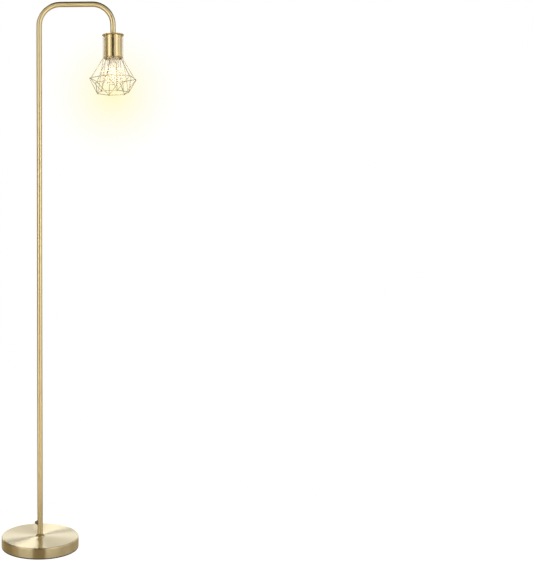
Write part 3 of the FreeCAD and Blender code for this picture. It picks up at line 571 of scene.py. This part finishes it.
@dataclass(frozen=True)
class RolledThread:
    """The rounded thread rolled into a screw cap or into its shell."""

    pitch: float = 3.63 * MM
    depth: float = 0.8 * MM
    run_out: float = 2.5 * MM

    def groove(self, turn: float, height: float, low: float, high: float) -> float:
        """Says how deep the groove is.

        Args:
            turn: Where round the axis, in radians.
            height: How high along it.
            low: Lower end of the thread.
            high: Upper end of the thread.

        Returns:
            The depth below the crest, from 0 to the thread's depth.
        """
        wave = 0.5 - 0.5 * math.cos(math.tau * height / self.pitch - turn)
        ends = min(height - low, high - height) / self.run_out
        fade = max(0.0, min(1.0, ends))
        return self.depth * wave * fade * fade * (3 - 2 * fade)


# --------------------------------------------------------------------------- the pieces

@dataclass
class Assembly:
    """A part of the lamp: dresses its solids and adds the pieces they leave out."""

    frame: dict

    def dress(self, finish: Finish, *names: str) -> None:
        """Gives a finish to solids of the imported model.

        Args:
            finish: What they are finished with.
            names: Their names, or the first letters that several share.
        """
        for name in self.frame["nodes"]:
            if any(name == start or name.startswith(start + "_") for start in names):
                self.dress_one(finish, name)

    def dress_one(self, finish: Finish, name: str) -> None:
        """Gives a finish to one solid.

        Args:
            finish: What it is finished with.
            name: Its whole name.
        """
        material = bpy.data.materials.get(finish.name) or finish.build()
        materials = self.frame["nodes"][name].data.materials
        materials.clear()
        materials.append(material)
        LOG.info("dressed %s in %s", name, finish.name)

    def add(self, piece: bpy.types.Object, finish: Finish, body: Body, slot: str,
            replaces: Iterable[str] = ()) -> bpy.types.Object:
        """Finishes a new piece and lets it ride on a body.

        Args:
            piece: The new object.
            finish: What it is finished with.
            body: The body that it moves with.
            slot: The record's material slot that it stands for; not used.
            replaces: The solids that it is shown in place of.

        Returns:
            The same object.
        """
        material = bpy.data.materials.get(finish.name) or finish.build()
        piece.data.materials.append(material)
        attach(piece, body.value)
        for node in replaces:
            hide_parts(node)
        LOG.info("made %s, %d faces, on %s", piece.name, len(piece.data.polygons),
                 body.value)
        return piece


@dataclass
class Base(Assembly):
    """Foam pad, iron weight, spun cover and the stud that ties them to the pole."""

    def build(self) -> None:
        """Dresses the base."""
        self.dress(FOAM, "base_pad")
        self.dress(CAST_IRON, "base_weight")
        self.dress(BASE_BRASS, "base_cover")
        self.dress(STEEL, "base_washer", "base_nut", "base_stud")
        self.dress(FLANGE_BRASS, "pole_flange")


@dataclass
class Pole(Assembly):
    """Three screwed sections, the arch on top of them, the bushing and the lead."""

    def build(self) -> None:
        """Dresses the pole and the arch."""
        for section in ("lower", "middle", "upper"):
            self.dress(STEEL, f"{section}_pole_foot_insert", f"{section}_pole_top_insert",
                       f"{section}_joint_stud")
            self.dress_one(POLE_BRASS, f"{section}_pole")
        self.dress(ARCH_BRASS, "arch_tube")
        self.dress(STEEL, "arch_foot_insert", "arch_end_insert")
        self.dress(BUSHING, "cord_bushing")
        self.dress(SHEATH, "lamp_lead")
        self.dress(CORES, "lead_cores")


@dataclass
class LampHolder(Assembly):
    """The cup with the lamp socket inside it."""

    shell_bore: float = 13.4 * MM
    shell_outside: float = 13.9 * MM
    shell_height: float = 24.5 * MM
    shell_floor: float = 0.5 * MM
    floor_hole: float = 9.0 * MM
    thread_depth: float = 0.3 * MM
    steps: int = 72
    rows: int = 54

    def build(self) -> None:
        """Dresses the socket and rolls the thread of its screw shell."""
        self.dress(CUP_BRASS, "socket_cup")
        self.dress(STEEL, "head_nipple", "head_washer", "head_lock_nut", "socket_cap",
                   "socket_terminal_screws")
        self.dress(CERAMIC, "socket_body")
        self.dress(BARE_BRASS, "socket_centre_contact")
        shell = mesh_object("socket_threaded_shell", self._roll_shell)
        self.add(shell, BARE_BRASS, Body.LAMP, "contact_brass", ["socket_screw_shell"])

    def _roll_shell(self, work: bmesh.types.BMesh) -> None:
        """Adds the thin shell, its thread pressed outwards from the bore.

        Args:
            work: The mesh to add to.
        """
        thread = RolledThread(depth=self.thread_depth)
        wall = self.shell_outside - self.shell_bore - thread.depth
        low = -self.shell_height

        def bore(height: float) -> Callable[[float], tuple[float, float]]:
            """Returns the ring inside the shell at a height."""
            return lambda turn: (
                self.shell_bore + thread.groove(turn, height, low, 0.0), height)

        def outside(height: float) -> Callable[[float], tuple[float, float]]:
            """Returns the ring round the shell at a height."""
            return lambda turn: (
                self.shell_bore + wall + thread.groove(turn, height, low, 0.0), height)

        inner = [-self.shell_floor + (low + self.shell_floor) * row / self.rows
                 for row in range(self.rows + 1)]
        outer = [low - low * row / self.rows for row in range(self.rows + 1)]
        rings = [bore(height) for height in inner] + [outside(height) for height in outer]
        rings += [lambda turn: (self.floor_hole, 0.0),
                  lambda turn: (self.floor_hole, -self.shell_floor)]
        lathe_grid(work, self.steps, rings,
                   Vector((SIZES.head_x, 0.0, SIZES.well_bottom_z)))


@dataclass
class Cage(Assembly):
    """The welded wire cage: its round top plate, wires and rings, and the weld beads."""

    pitch: float = 1.82 * MM
    neck_radius: float = 29.9 * MM
    neck_drop: float = 68.0 * MM
    neck_ring_drop: float = 65.5 * MM
    middle: tuple[float, float] = (69.2 * MM, 127.0 * MM)
    bottom: tuple[float, float] = (48.0 * MM, 168.5 * MM)
    first_bearing: float = 15.0
    sides: int = 6
    zigzag_top_side: float = -37.0
    zigzag_foot_side: float = 60.0
    bead: float = 0.75 * MM
    ring_bead: tuple[float, float, float] = (0.8, 1.25, 1.0)
    zigzag_bead: tuple[float, float, float] = (0.85, 1.9, 0.85)
    neck_bead: tuple[float, float, float] = (0.8, 1.3, 1.2)
    plate_bead: tuple[float, float, float] = (1.75, 1.75, 0.45)
    plate_bead_drop: float = 0.35 * MM
    ripple: float = 0.09
    ripple_scale: float = 1400.0
    ripple_shift: float = 40.0

    def build(self) -> None:
        """Dresses the cage and lays its welds."""
        self.dress(PLATE_BRASS, "cage_top_plate")
        self.dress(CAGE_BRASS, "cage_neck_ring", "cage_middle_ring", "cage_bottom_ring",
                   "cage_zigzag_wire", "cage_middle_wire", "cage_bottom_wire")
        welds = mesh_object("cage_weld_beads", self._lay_welds)
        self.add(welds, WELD_BRASS, Body.LAMP, "wire_brass")

    def _lay_welds(self, work: bmesh.types.BMesh) -> None:
        """Adds one bead for each pair of wires that meet.

        Args:
            work: The mesh to add to.
        """
        step = 360.0 / self.sides
        for index in range(self.sides):
            middle_bearing = self.first_bearing + step * index
            bottom_bearing = middle_bearing + step / 2
            self._weld_corner(work, self.middle, middle_bearing, self.zigzag_top_side)
            self._weld_corner(work, self.bottom, bottom_bearing, self.zigzag_foot_side)
            for bearing in (middle_bearing, bottom_bearing):
                self._weld_neck(work, bearing)

    def _weld_corner(self, work: bmesh.types.BMesh, corner: tuple[float, float],
                     bearing: float, zigzag_side: float) -> None:
        """Adds the two beads at a ring's corner.

        Args:
            work: The mesh to add to.
            corner: The corner's (radius, drop) below the plate.
            bearing: Its bearing in degrees.
            zigzag_side: On which side of it the zigzag wire lies, in degrees above level.
        """
        radius, drop = corner
        reach = Vector((radius - self.neck_radius, self.neck_drop - drop))
        lean = math.asin(self.pitch / reach.length)
        slope = Matrix.Rotation(-lean, 2) @ reach.normalized()
        along = reach.dot(slope)
        foot = Vector((self.neck_radius, -self.neck_drop)) + slope * along
        touch = (foot + Vector((radius, -drop))) / 2
        self._bead(work, polar(touch.x, bearing, touch.y), bearing, self.ring_bead)
        side = math.radians(zigzag_side)
        place = polar(radius + math.cos(side) * self.pitch / 2, bearing,
                      -drop + math.sin(side) * self.pitch / 2)
        self._bead(work, place, bearing, self.zigzag_bead)

    def _weld_neck(self, work: bmesh.types.BMesh, bearing: float) -> None:
        """Adds the bead at the neck ring and the one under the plate for one wire.

        Args:
            work: The mesh to add to.
            bearing: The wire's bearing in degrees.
        """
        radius = self.neck_radius - self.pitch / 2
        self._bead(work, polar(radius, bearing, -self.neck_ring_drop), bearing,
                   self.neck_bead)
        self._bead(work, polar(self.neck_radius, bearing, -self.plate_bead_drop), bearing,
                   self.plate_bead)

    def _bead(self, work: bmesh.types.BMesh, place: Vector, bearing: float,
              shape: tuple[float, float, float]) -> None:
        """Adds one slightly uneven bead of weld.

        Args:
            work: The mesh to add to.
            place: Its centre, from the underside of the plate on the head's axis.
            bearing: The bearing in degrees that its first axis points along.
            shape: Its half lengths, in beads, outwards, sideways and up.
        """
        matrix = (Matrix.Translation(place + Vector((SIZES.head_x, 0.0, SIZES.cage_z)))
                  @ Matrix.Rotation(math.radians(bearing), 4, "Z")
                  @ Matrix.Diagonal((*shape, 1.0)))
        made = bmesh.ops.create_icosphere(work, subdivisions=2, radius=self.bead)
        for vertex in made["verts"]:
            spot = (vertex.co + place * self.ripple_shift) * self.ripple_scale
            vertex.co = matrix @ (vertex.co * (1.0 + noise.noise(spot) * self.ripple))


@dataclass
class Bulb(Assembly):
    """The clear bulb: glass, stem, glowing filament and the rolled screw cap."""

    cap_radius: float = 12.95 * MM
    cap_wall: float = 0.35 * MM
    cap_top: float = 2.6 * MM
    cap_length: float = 25.5 * MM
    chamfer: float = 1.5 * MM
    hole: float = 8.5 * MM
    thread_depth: float = 0.75 * MM
    thread_margin: float = 1.2 * MM
    steps: int = 96
    rows: int = 72
    glow_colour: Colour = (1.0, 0.80, 0.50)
    glow_power: float = 0.06
    glow_radius: float = 9 * MM
    glow_drop: float = 78 * MM

    def build(self) -> None:
        """Dresses the bulb and rolls its screw cap."""
        self.dress(BULB_GLASS, "bulb_glass", "bulb_stem")
        self.dress(FILAMENT, "bulb_filament")
        self.dress(HOOK_METAL, "bulb_support_wires")
        self.dress(SOLDER, "bulb_contact")
        self.dress(BLACK_GLASS, "bulb_insulator")
        cap = mesh_object("bulb_rolled_cap", self._roll_cap)
        self.add(cap, CAP_METAL, Body.BULB, "bulb_cap_metal", ["bulb_screw_cap"])
        self._light()

    def _roll_cap(self, work: bmesh.types.BMesh) -> None:
        """Adds the thin cap with its rolled thread and bevelled top.

        Args:
            work: The mesh to add to.
        """
        thread = RolledThread(depth=self.thread_depth)
        low = -self.cap_length + self.thread_margin
        high = -self.cap_top - self.chamfer

        def skin(height: float, inset: float) -> Callable[[float], tuple[float, float]]:
            """Returns the ring at a height, so far in from the cap's outside."""
            return lambda turn: (
                self.cap_radius - inset - thread.groove(turn, height, low, high), height)

        heights = [-self.cap_length + (high + self.cap_length) * row / self.rows
                   for row in range(self.rows + 1)]
        bevel = self.cap_radius - self.chamfer
        rings = [skin(height, 0.0) for height in heights]
        rings += [lambda turn: (bevel, -self.cap_top), lambda turn: (self.hole, -self.cap_top),
                  lambda turn: (self.hole, -self.cap_top - self.cap_wall),
                  lambda turn: (bevel - self.cap_wall, -self.cap_top - self.cap_wall)]
        rings += [skin(height, self.cap_wall) for height in reversed(heights)]
        lathe_grid(work, self.steps, rings,
                   Vector((SIZES.head_x, 0.0, SIZES.bulb_tip_z)))

    def _light(self) -> None:
        """Adds the light that the filament gives."""
        light = bpy.data.lights.new("filament_light", "POINT")
        light.color = self.glow_colour
        light.energy = self.glow_power
        light.shadow_soft_size = self.glow_radius
        lamp = bpy.data.objects.new("filament_light", light)
        lamp.location = (SIZES.head_x, 0.0, SIZES.bulb_tip_z - self.glow_drop)
        lamp.visible_camera = False
        lamp.visible_glossy = False
        lamp.visible_transmission = False
        bpy.context.scene.collection.objects.link(lamp)
        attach(lamp, Body.BULB.value)


# --------------------------------------------------------------------------- the studio

WHITE: Colour = (1.0, 1.0, 1.0)
FRONT = -90.0
STUDIO_MIDDLE_X = 0.1


@dataclass(frozen=True)
class Flag:
    """A curved upright card, from one bearing to another, that only reflections see.

    Bearings are in degrees from the front, to the right.  A shade of 1 is as bright as the
    white surround.
    """

    start: float
    end: float
    shade: float
    bottom: float = 0.0
    top: float = 5.0


@dataclass(frozen=True)
class SoftLight:
    """A tall soft light that faces the lamp from a bearing, counted as a flag's is."""

    side: str
    bearing: float
    height: float
    size: tuple[float, float]
    power: float
    mirrored: bool = False
    distance: float = 3.2

    def build(self) -> None:
        """Adds the light."""
        light = bpy.data.lights.new(f"soft_{self.side}", "AREA")
        light.shape = "RECTANGLE"
        light.size, light.size_y = self.size
        light.energy = self.power
        lamp = bpy.data.objects.new(light.name, light)
        lamp.location = polar(self.distance, self.bearing + FRONT, self.height)
        facing = Vector((STUDIO_MIDDLE_X, 0.0, self.height)) - lamp.location
        lamp.rotation_euler = facing.to_track_quat("-Z", "Y").to_euler()
        lamp.visible_camera = False
        lamp.visible_glossy = self.mirrored
        bpy.context.scene.collection.objects.link(lamp)


@dataclass
class Studio:
    """Pale floor, white surround, soft lights, reflected cards, and the wall behind with a
    painted pool of warm light.
    """

    seen_light: float = 1.0
    cast_light: float = 0.72
    lights: tuple[SoftLight, ...] = (
        SoftLight("left", -44.0, 2.3, (0.9, 3.0), 9.5),
        SoftLight("right", 40.0, 2.3, (0.8, 3.0), 15.0),
        SoftLight("behind", -164.0, 3.3, (1.6, 1.3), 24.0, mirrored=True),
    )
    floor_radius: float = 14.0
    floor_steps: int = 96
    floor_tones: tuple[Colour, Colour] = ((0.36, 0.345, 0.32), (0.34, 0.325, 0.30))
    floor_cloud: float = 3.0
    floor_glow: float = 0.82
    floor_mirrored: Colour = (0.31, 0.24, 0.13)
    sheet_mirrored: Colour = (3.9, 3.65, 3.0)
    sheet_far: tuple[float, float] = (1.75, 3.6)
    sheet_near: tuple[float, float] = (0.26, 0.7)
    sheet_near_share: float = 0.42
    sheet_bearing: float = 2.0
    sheet_gap: float = 19.0
    card_radius: float = 3.9
    card_steps: int = 12
    card_tint: Colour = (1.0, 0.82, 0.60)
    strip_tint: Colour = (1.0, 0.98, 0.93)
    card_cloud: float = 0.6
    card_mottle: float = 0.15
    flags: tuple[Flag, ...] = (
        Flag(-17.0, 20.0, 0.03),
        Flag(106.0, 130.0, 0.12, 1.0),
        Flag(130.0, 165.0, 0.45, 1.3, 6.5),
        Flag(-128.0, -84.0, 0.10),
        Flag(-80.0, -66.0, 0.55),
        Flag(-168.0, -134.0, 0.12, 1.8, 3.0),
        Flag(-62.0, -19.0, 2.1, 1.0, 3.2),
        Flag(22.0, 62.0, 1.9, 1.0, 3.2),
        Flag(-84.0, -19.0, 0.3, 0.0, 0.55),
        Flag(22.0, 84.0, 0.3, 0.0, 0.55),
    )
    ceiling_height: float = 4.2
    ceiling_size: tuple[float, float] = (9.0, 7.4)
    ceiling_fade: tuple[float, float] = (0.22, 0.42)
    ceiling_shade: float = 0.05
    ceiling_edge: float = 0.42
    ceiling_edge_tint: Colour = (1.0, 0.92, 0.74)
    wall_back: float = 0.3
    wall_size: float = 7.0
    # The wall's pool is painted light: a warm glow painted into its colour round the bulb,
    # which no lamp casts.
    painted_pool_drop: float = 85 * MM
    painted_pool_radius: float = 0.22
    painted_pool_falloff: float = 1.5
    painted_pool_depth: float = 0.42
    painted_pool_colour: Colour = (1.0, 0.91, 0.0)

    def build(self) -> None:
        """Sets up everything round the lamp."""
        self._surround()
        self._floor()
        for index, flag in enumerate(self.flags):
            self._upright_card(f"stage_flag_{index + 1}", flag)
        self._ceiling()
        for light in self.lights:
            light.build()
        self._wall()

    def _stage(self, piece: bpy.types.Object) -> None:
        """Logs the name of a piece that belongs to the studio, not the lamp."""
        LOG.info("staged %s", piece.name)

    def _surround(self) -> None:
        """Makes the world white where it is seen, and softer where it lights."""
        world = bpy.data.worlds.new("studio")
        bpy.context.scene.world = world
        board = Board(world)
        seen = board.add("Background", Color=(*WHITE, 1.0), Strength=self.seen_light)
        cast = board.add("Background", Color=(*WHITE, 1.0), Strength=self.cast_light)
        path = board.add("LightPath")
        direct = board.math("MAXIMUM", path.outputs["Is Camera Ray"],
                            path.outputs["Is Glossy Ray"])
        shown = board.math("MAXIMUM", direct, path.outputs["Is Transmission Ray"])
        board.show(board.mix(shown, cast, seen))

    def _floor(self) -> None:
        """Adds a pale floor that shows white, with the lamp's soft shadow."""
        def disc(work: bmesh.types.BMesh) -> None:
            """Fills a mesh with one round face."""
            bmesh.ops.create_circle(work, cap_ends=True, segments=self.floor_steps,
                                    radius=self.floor_radius)
        floor = mesh_object("stage_floor", disc)
        board = Board(bpy.data.materials.new("floor_pale"))
        place = board.add("TexCoord").outputs["Object"]
        cloud = board.noise(place, self.floor_cloud)
        diffuse = board.add("BsdfDiffuse", Color=board.blend(cloud, *self.floor_tones))
        path = board.add("LightPath")
        seen = board.math("MAXIMUM", path.outputs["Is Camera Ray"],
                          path.outputs["Is Transmission Ray"])
        glow = board.add("Emission", Strength=board.math("MULTIPLY", seen, self.floor_glow))
        total = board.add("AddShader")
        board.feed(total.inputs[0], glow.outputs[0])
        board.feed(total.inputs[1], diffuse.outputs[0])
        mirrored = board.add("Emission", Color=board.blend(
            self._sheet(board, place), self.floor_mirrored, self.sheet_mirrored))
        board.show(board.mix(path.outputs["Is Glossy Ray"], total, mirrored))
        floor.data.materials.append(board.owner)
        self._stage(floor)

    def _sheet(self, board: Board, place: Socket) -> Socket:
        """Says where the bright sheets lie on the floor, to both sides of the front.

        Only reflections see them.  The far ones give the arch the bright line along its
        middle, and the near ones light the foot of the pole.

        Args:
            board: The floor's nodes.
            place: The place on the floor.

        Returns:
            1 on the far sheets, a share of it on the dim near ones and 0 off them.
        """
        x, y, _z = split(board, place)
        front = board.math("MULTIPLY", y, -1.0)
        bright = self._strip(board, front, self.sheet_far)
        dim = board.math("MULTIPLY", self._strip(board, front, self.sheet_near),
                         self.sheet_near_share)
        inside = board.math("ADD", bright, dim)
        bearing = board.math("ARCTAN2", x, front)
        off = board.math("ABSOLUTE", board.math("SUBTRACT", bearing,
                                                math.radians(self.sheet_bearing)))
        aside = board.math("GREATER_THAN", off, math.radians(self.sheet_gap))
        return board.math("MULTIPLY", inside, aside)

    def _strip(self, board: Board, front: Socket, edges: tuple[float, float]) -> Socket:
        """Returns 1 between two distances in front of the lamp, and 0 elsewhere."""
        return board.math("MULTIPLY", board.math("GREATER_THAN", front, edges[0]),
                          board.math("LESS_THAN", front, edges[1]))

    def _hide_card(self, card: bpy.types.Object, board: Board, colour: Socket) -> None:
        """Gives a card its glow, and lets only reflections see it.

        Args:
            card: The card.
            board: The nodes of its material.
            colour: How bright each place on it is.
        """
        board.show(board.add("Emission", Color=colour).outputs[0])
        card.data.materials.append(board.owner)
        card.visible_camera = False
        card.visible_diffuse = False
        card.visible_transmission = False
        card.visible_volume_scatter = False
        card.visible_shadow = False
        self._stage(card)

    def _upright_card(self, name: str, flag: Flag) -> None:
        """Adds the card that a flag describes.

        Args:
            name: The card's name.
            flag: Where it stands and how bright it is.
        """
        def bend(work: bmesh.types.BMesh) -> None:
            """Fills a mesh with the curved card."""
            turn = (flag.end - flag.start) / self.card_steps
            low, high = ([work.verts.new(polar(
                self.card_radius, flag.start + turn * step + FRONT, height))
                for step in range(self.card_steps + 1)]
                for height in (flag.bottom, flag.top))
            for step in range(self.card_steps):
                work.faces.new((low[step], low[step + 1], high[step + 1], high[step]))
        card = mesh_object(name, bend)
        board = Board(bpy.data.materials.new(f"{name}_card"))
        place = board.add("TexCoord").outputs["Object"]
        hue = self.card_tint if flag.shade < self.seen_light else self.strip_tint
        tint = tuple(flag.shade * channel for channel in hue)
        cloud = board.noise(place, self.card_cloud)
        self._hide_card(card, board, board.blend(cloud, tint, darker(tint, self.card_mottle)))

    def _ceiling(self) -> None:
        """Adds the dark card overhead, paler towards its front and back edges."""
        def sheet(work: bmesh.types.BMesh) -> None:
            """Fills a mesh with the level card."""
            made = bmesh.ops.create_grid(work, x_segments=1, y_segments=1, size=0.5)
            bmesh.ops.scale(work, vec=(*self.ceiling_size, 1.0), verts=made["verts"])
        card = mesh_object("stage_ceiling", sheet)
        card.location = (STUDIO_MIDDLE_X, 0.0, self.ceiling_height)
        board = Board(bpy.data.materials.new("stage_ceiling_card"))
        _x, y, _z = split(board, board.add("TexCoord").outputs["Object"])
        depth = self.ceiling_size[1]
        start, end = self.ceiling_fade
        out = board.add("MapRange", Value=board.math("ABSOLUTE", y), From_Min=depth * start,
                        From_Max=depth * end)
        dark = tuple(self.ceiling_shade * channel for channel in self.card_tint)
        pale = tuple(self.ceiling_edge * channel for channel in self.ceiling_edge_tint)
        self._hide_card(card, board, board.blend(out.outputs[0], dark, pale))

    def _wall(self) -> None:
        """Adds the white wall just behind the lamp, with a warm pool of light painted into its
        colour round the bulb.

        It is seen only from its front, so that the lamp shows from behind too.
        """
        def upright(work: bmesh.types.BMesh) -> None:
            """Fills a mesh with the wall."""
            half = self.wall_size / 2
            corners = ((-half, 0.0), (half, 0.0), (half, half), (-half, half))
            work.faces.new([work.verts.new((x, self.wall_back, z)) for x, z in corners])
        wall = mesh_object("stage_wall", upright)
        board = Board(bpy.data.materials.new("wall_white_with_painted_glow"))
        place = board.add("TexCoord").outputs["Object"]
        x, _y, z = split(board, place)
        # Painted light: the wall turns yellow towards a spot round the bulb, a glow painted
        # into its colour, not lit by the bulb.
        aside = board.math("SUBTRACT", x, SIZES.head_x)
        above = board.math("SUBTRACT", z, SIZES.bulb_tip_z - self.painted_pool_drop)
        squares = board.math("ADD", board.math("MULTIPLY", aside, aside),
                             board.math("MULTIPLY", above, above))
        share = board.math("DIVIDE", board.math("SQRT", squares), self.painted_pool_radius)
        left = board.math("MAXIMUM", board.math("SUBTRACT", 1.0, share), 0.0)
        depth = board.math("MULTIPLY", board.math("POWER", left, self.painted_pool_falloff),
                           self.painted_pool_depth)
        glow = board.add("Emission", Color=board.blend(depth, WHITE, self.painted_pool_colour))
        clear = board.add("BsdfTransparent")
        hidden = board.math("MAXIMUM", board.add("NewGeometry").outputs["Backfacing"],
                            board.add("LightPath").outputs["Is Shadow Ray"])
        board.show(board.mix(hidden, glow, clear))
        wall.data.materials.append(board.owner)
        wall.visible_diffuse = False
        wall.visible_glossy = False
        wall.visible_volume_scatter = False
        wall.visible_shadow = False
        self._stage(wall)


@dataclass(frozen=True)
class Viewpoint:
    """The camera: its place, its turns in degrees and its lens."""

    place: tuple[float, float, float] = (0.2126, -2.6676, 0.9232)
    yaw: float = -1.878
    pitch: float = -0.628
    roll: float = -0.085
    focal_pixels: float = 902.81
    aside_pixels: float = 184.7
    above_pixels: float = 37.4
    picture_height: int = 565
    sensor: float = 36.0
    nearest: float = 0.05
    farthest: float = 60.0

    def build(self) -> None:
        """Adds the camera and makes it the scene's."""
        data = bpy.data.cameras.new("camera")
        data.sensor_width = self.sensor
        data.lens = self.focal_pixels / self.picture_height * self.sensor
        data.shift_x = self.aside_pixels / self.picture_height
        data.shift_y = -self.above_pixels / self.picture_height
        data.clip_start = self.nearest
        data.clip_end = self.farthest
        camera = bpy.data.objects.new("camera", data)
        yaw, pitch, roll = (math.radians(turn) for turn in (self.yaw, self.pitch, self.roll))
        level = Vector((math.cos(yaw), -math.sin(yaw), 0.0))
        ahead = Vector((math.sin(yaw) * math.cos(pitch), math.cos(yaw) * math.cos(pitch),
                        math.sin(pitch)))
        upright = level.cross(ahead)
        right = level * math.cos(roll) + upright * math.sin(roll)
        up = upright * math.cos(roll) - level * math.sin(roll)
        turned = Matrix((right, up, -ahead)).transposed().to_4x4()
        camera.matrix_world = Matrix.Translation(self.place) @ turned
        bpy.context.scene.collection.objects.link(camera)
        bpy.context.scene.camera = camera


def main() -> None:
    """Builds the lamp's looks in order."""
    logging.basicConfig(level=logging.INFO, format="%(name)s: %(message)s")
    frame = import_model()
    bpy.context.scene.view_settings.view_transform = "Standard"
    Viewpoint().build()
    for assembly in (Base, Pole, LampHolder, Cage, Bulb):
        assembly(frame).build()
        LOG.info("finished the class %s", assembly.__name__)
    Studio().build()


if __name__ == "__main__":
    main()
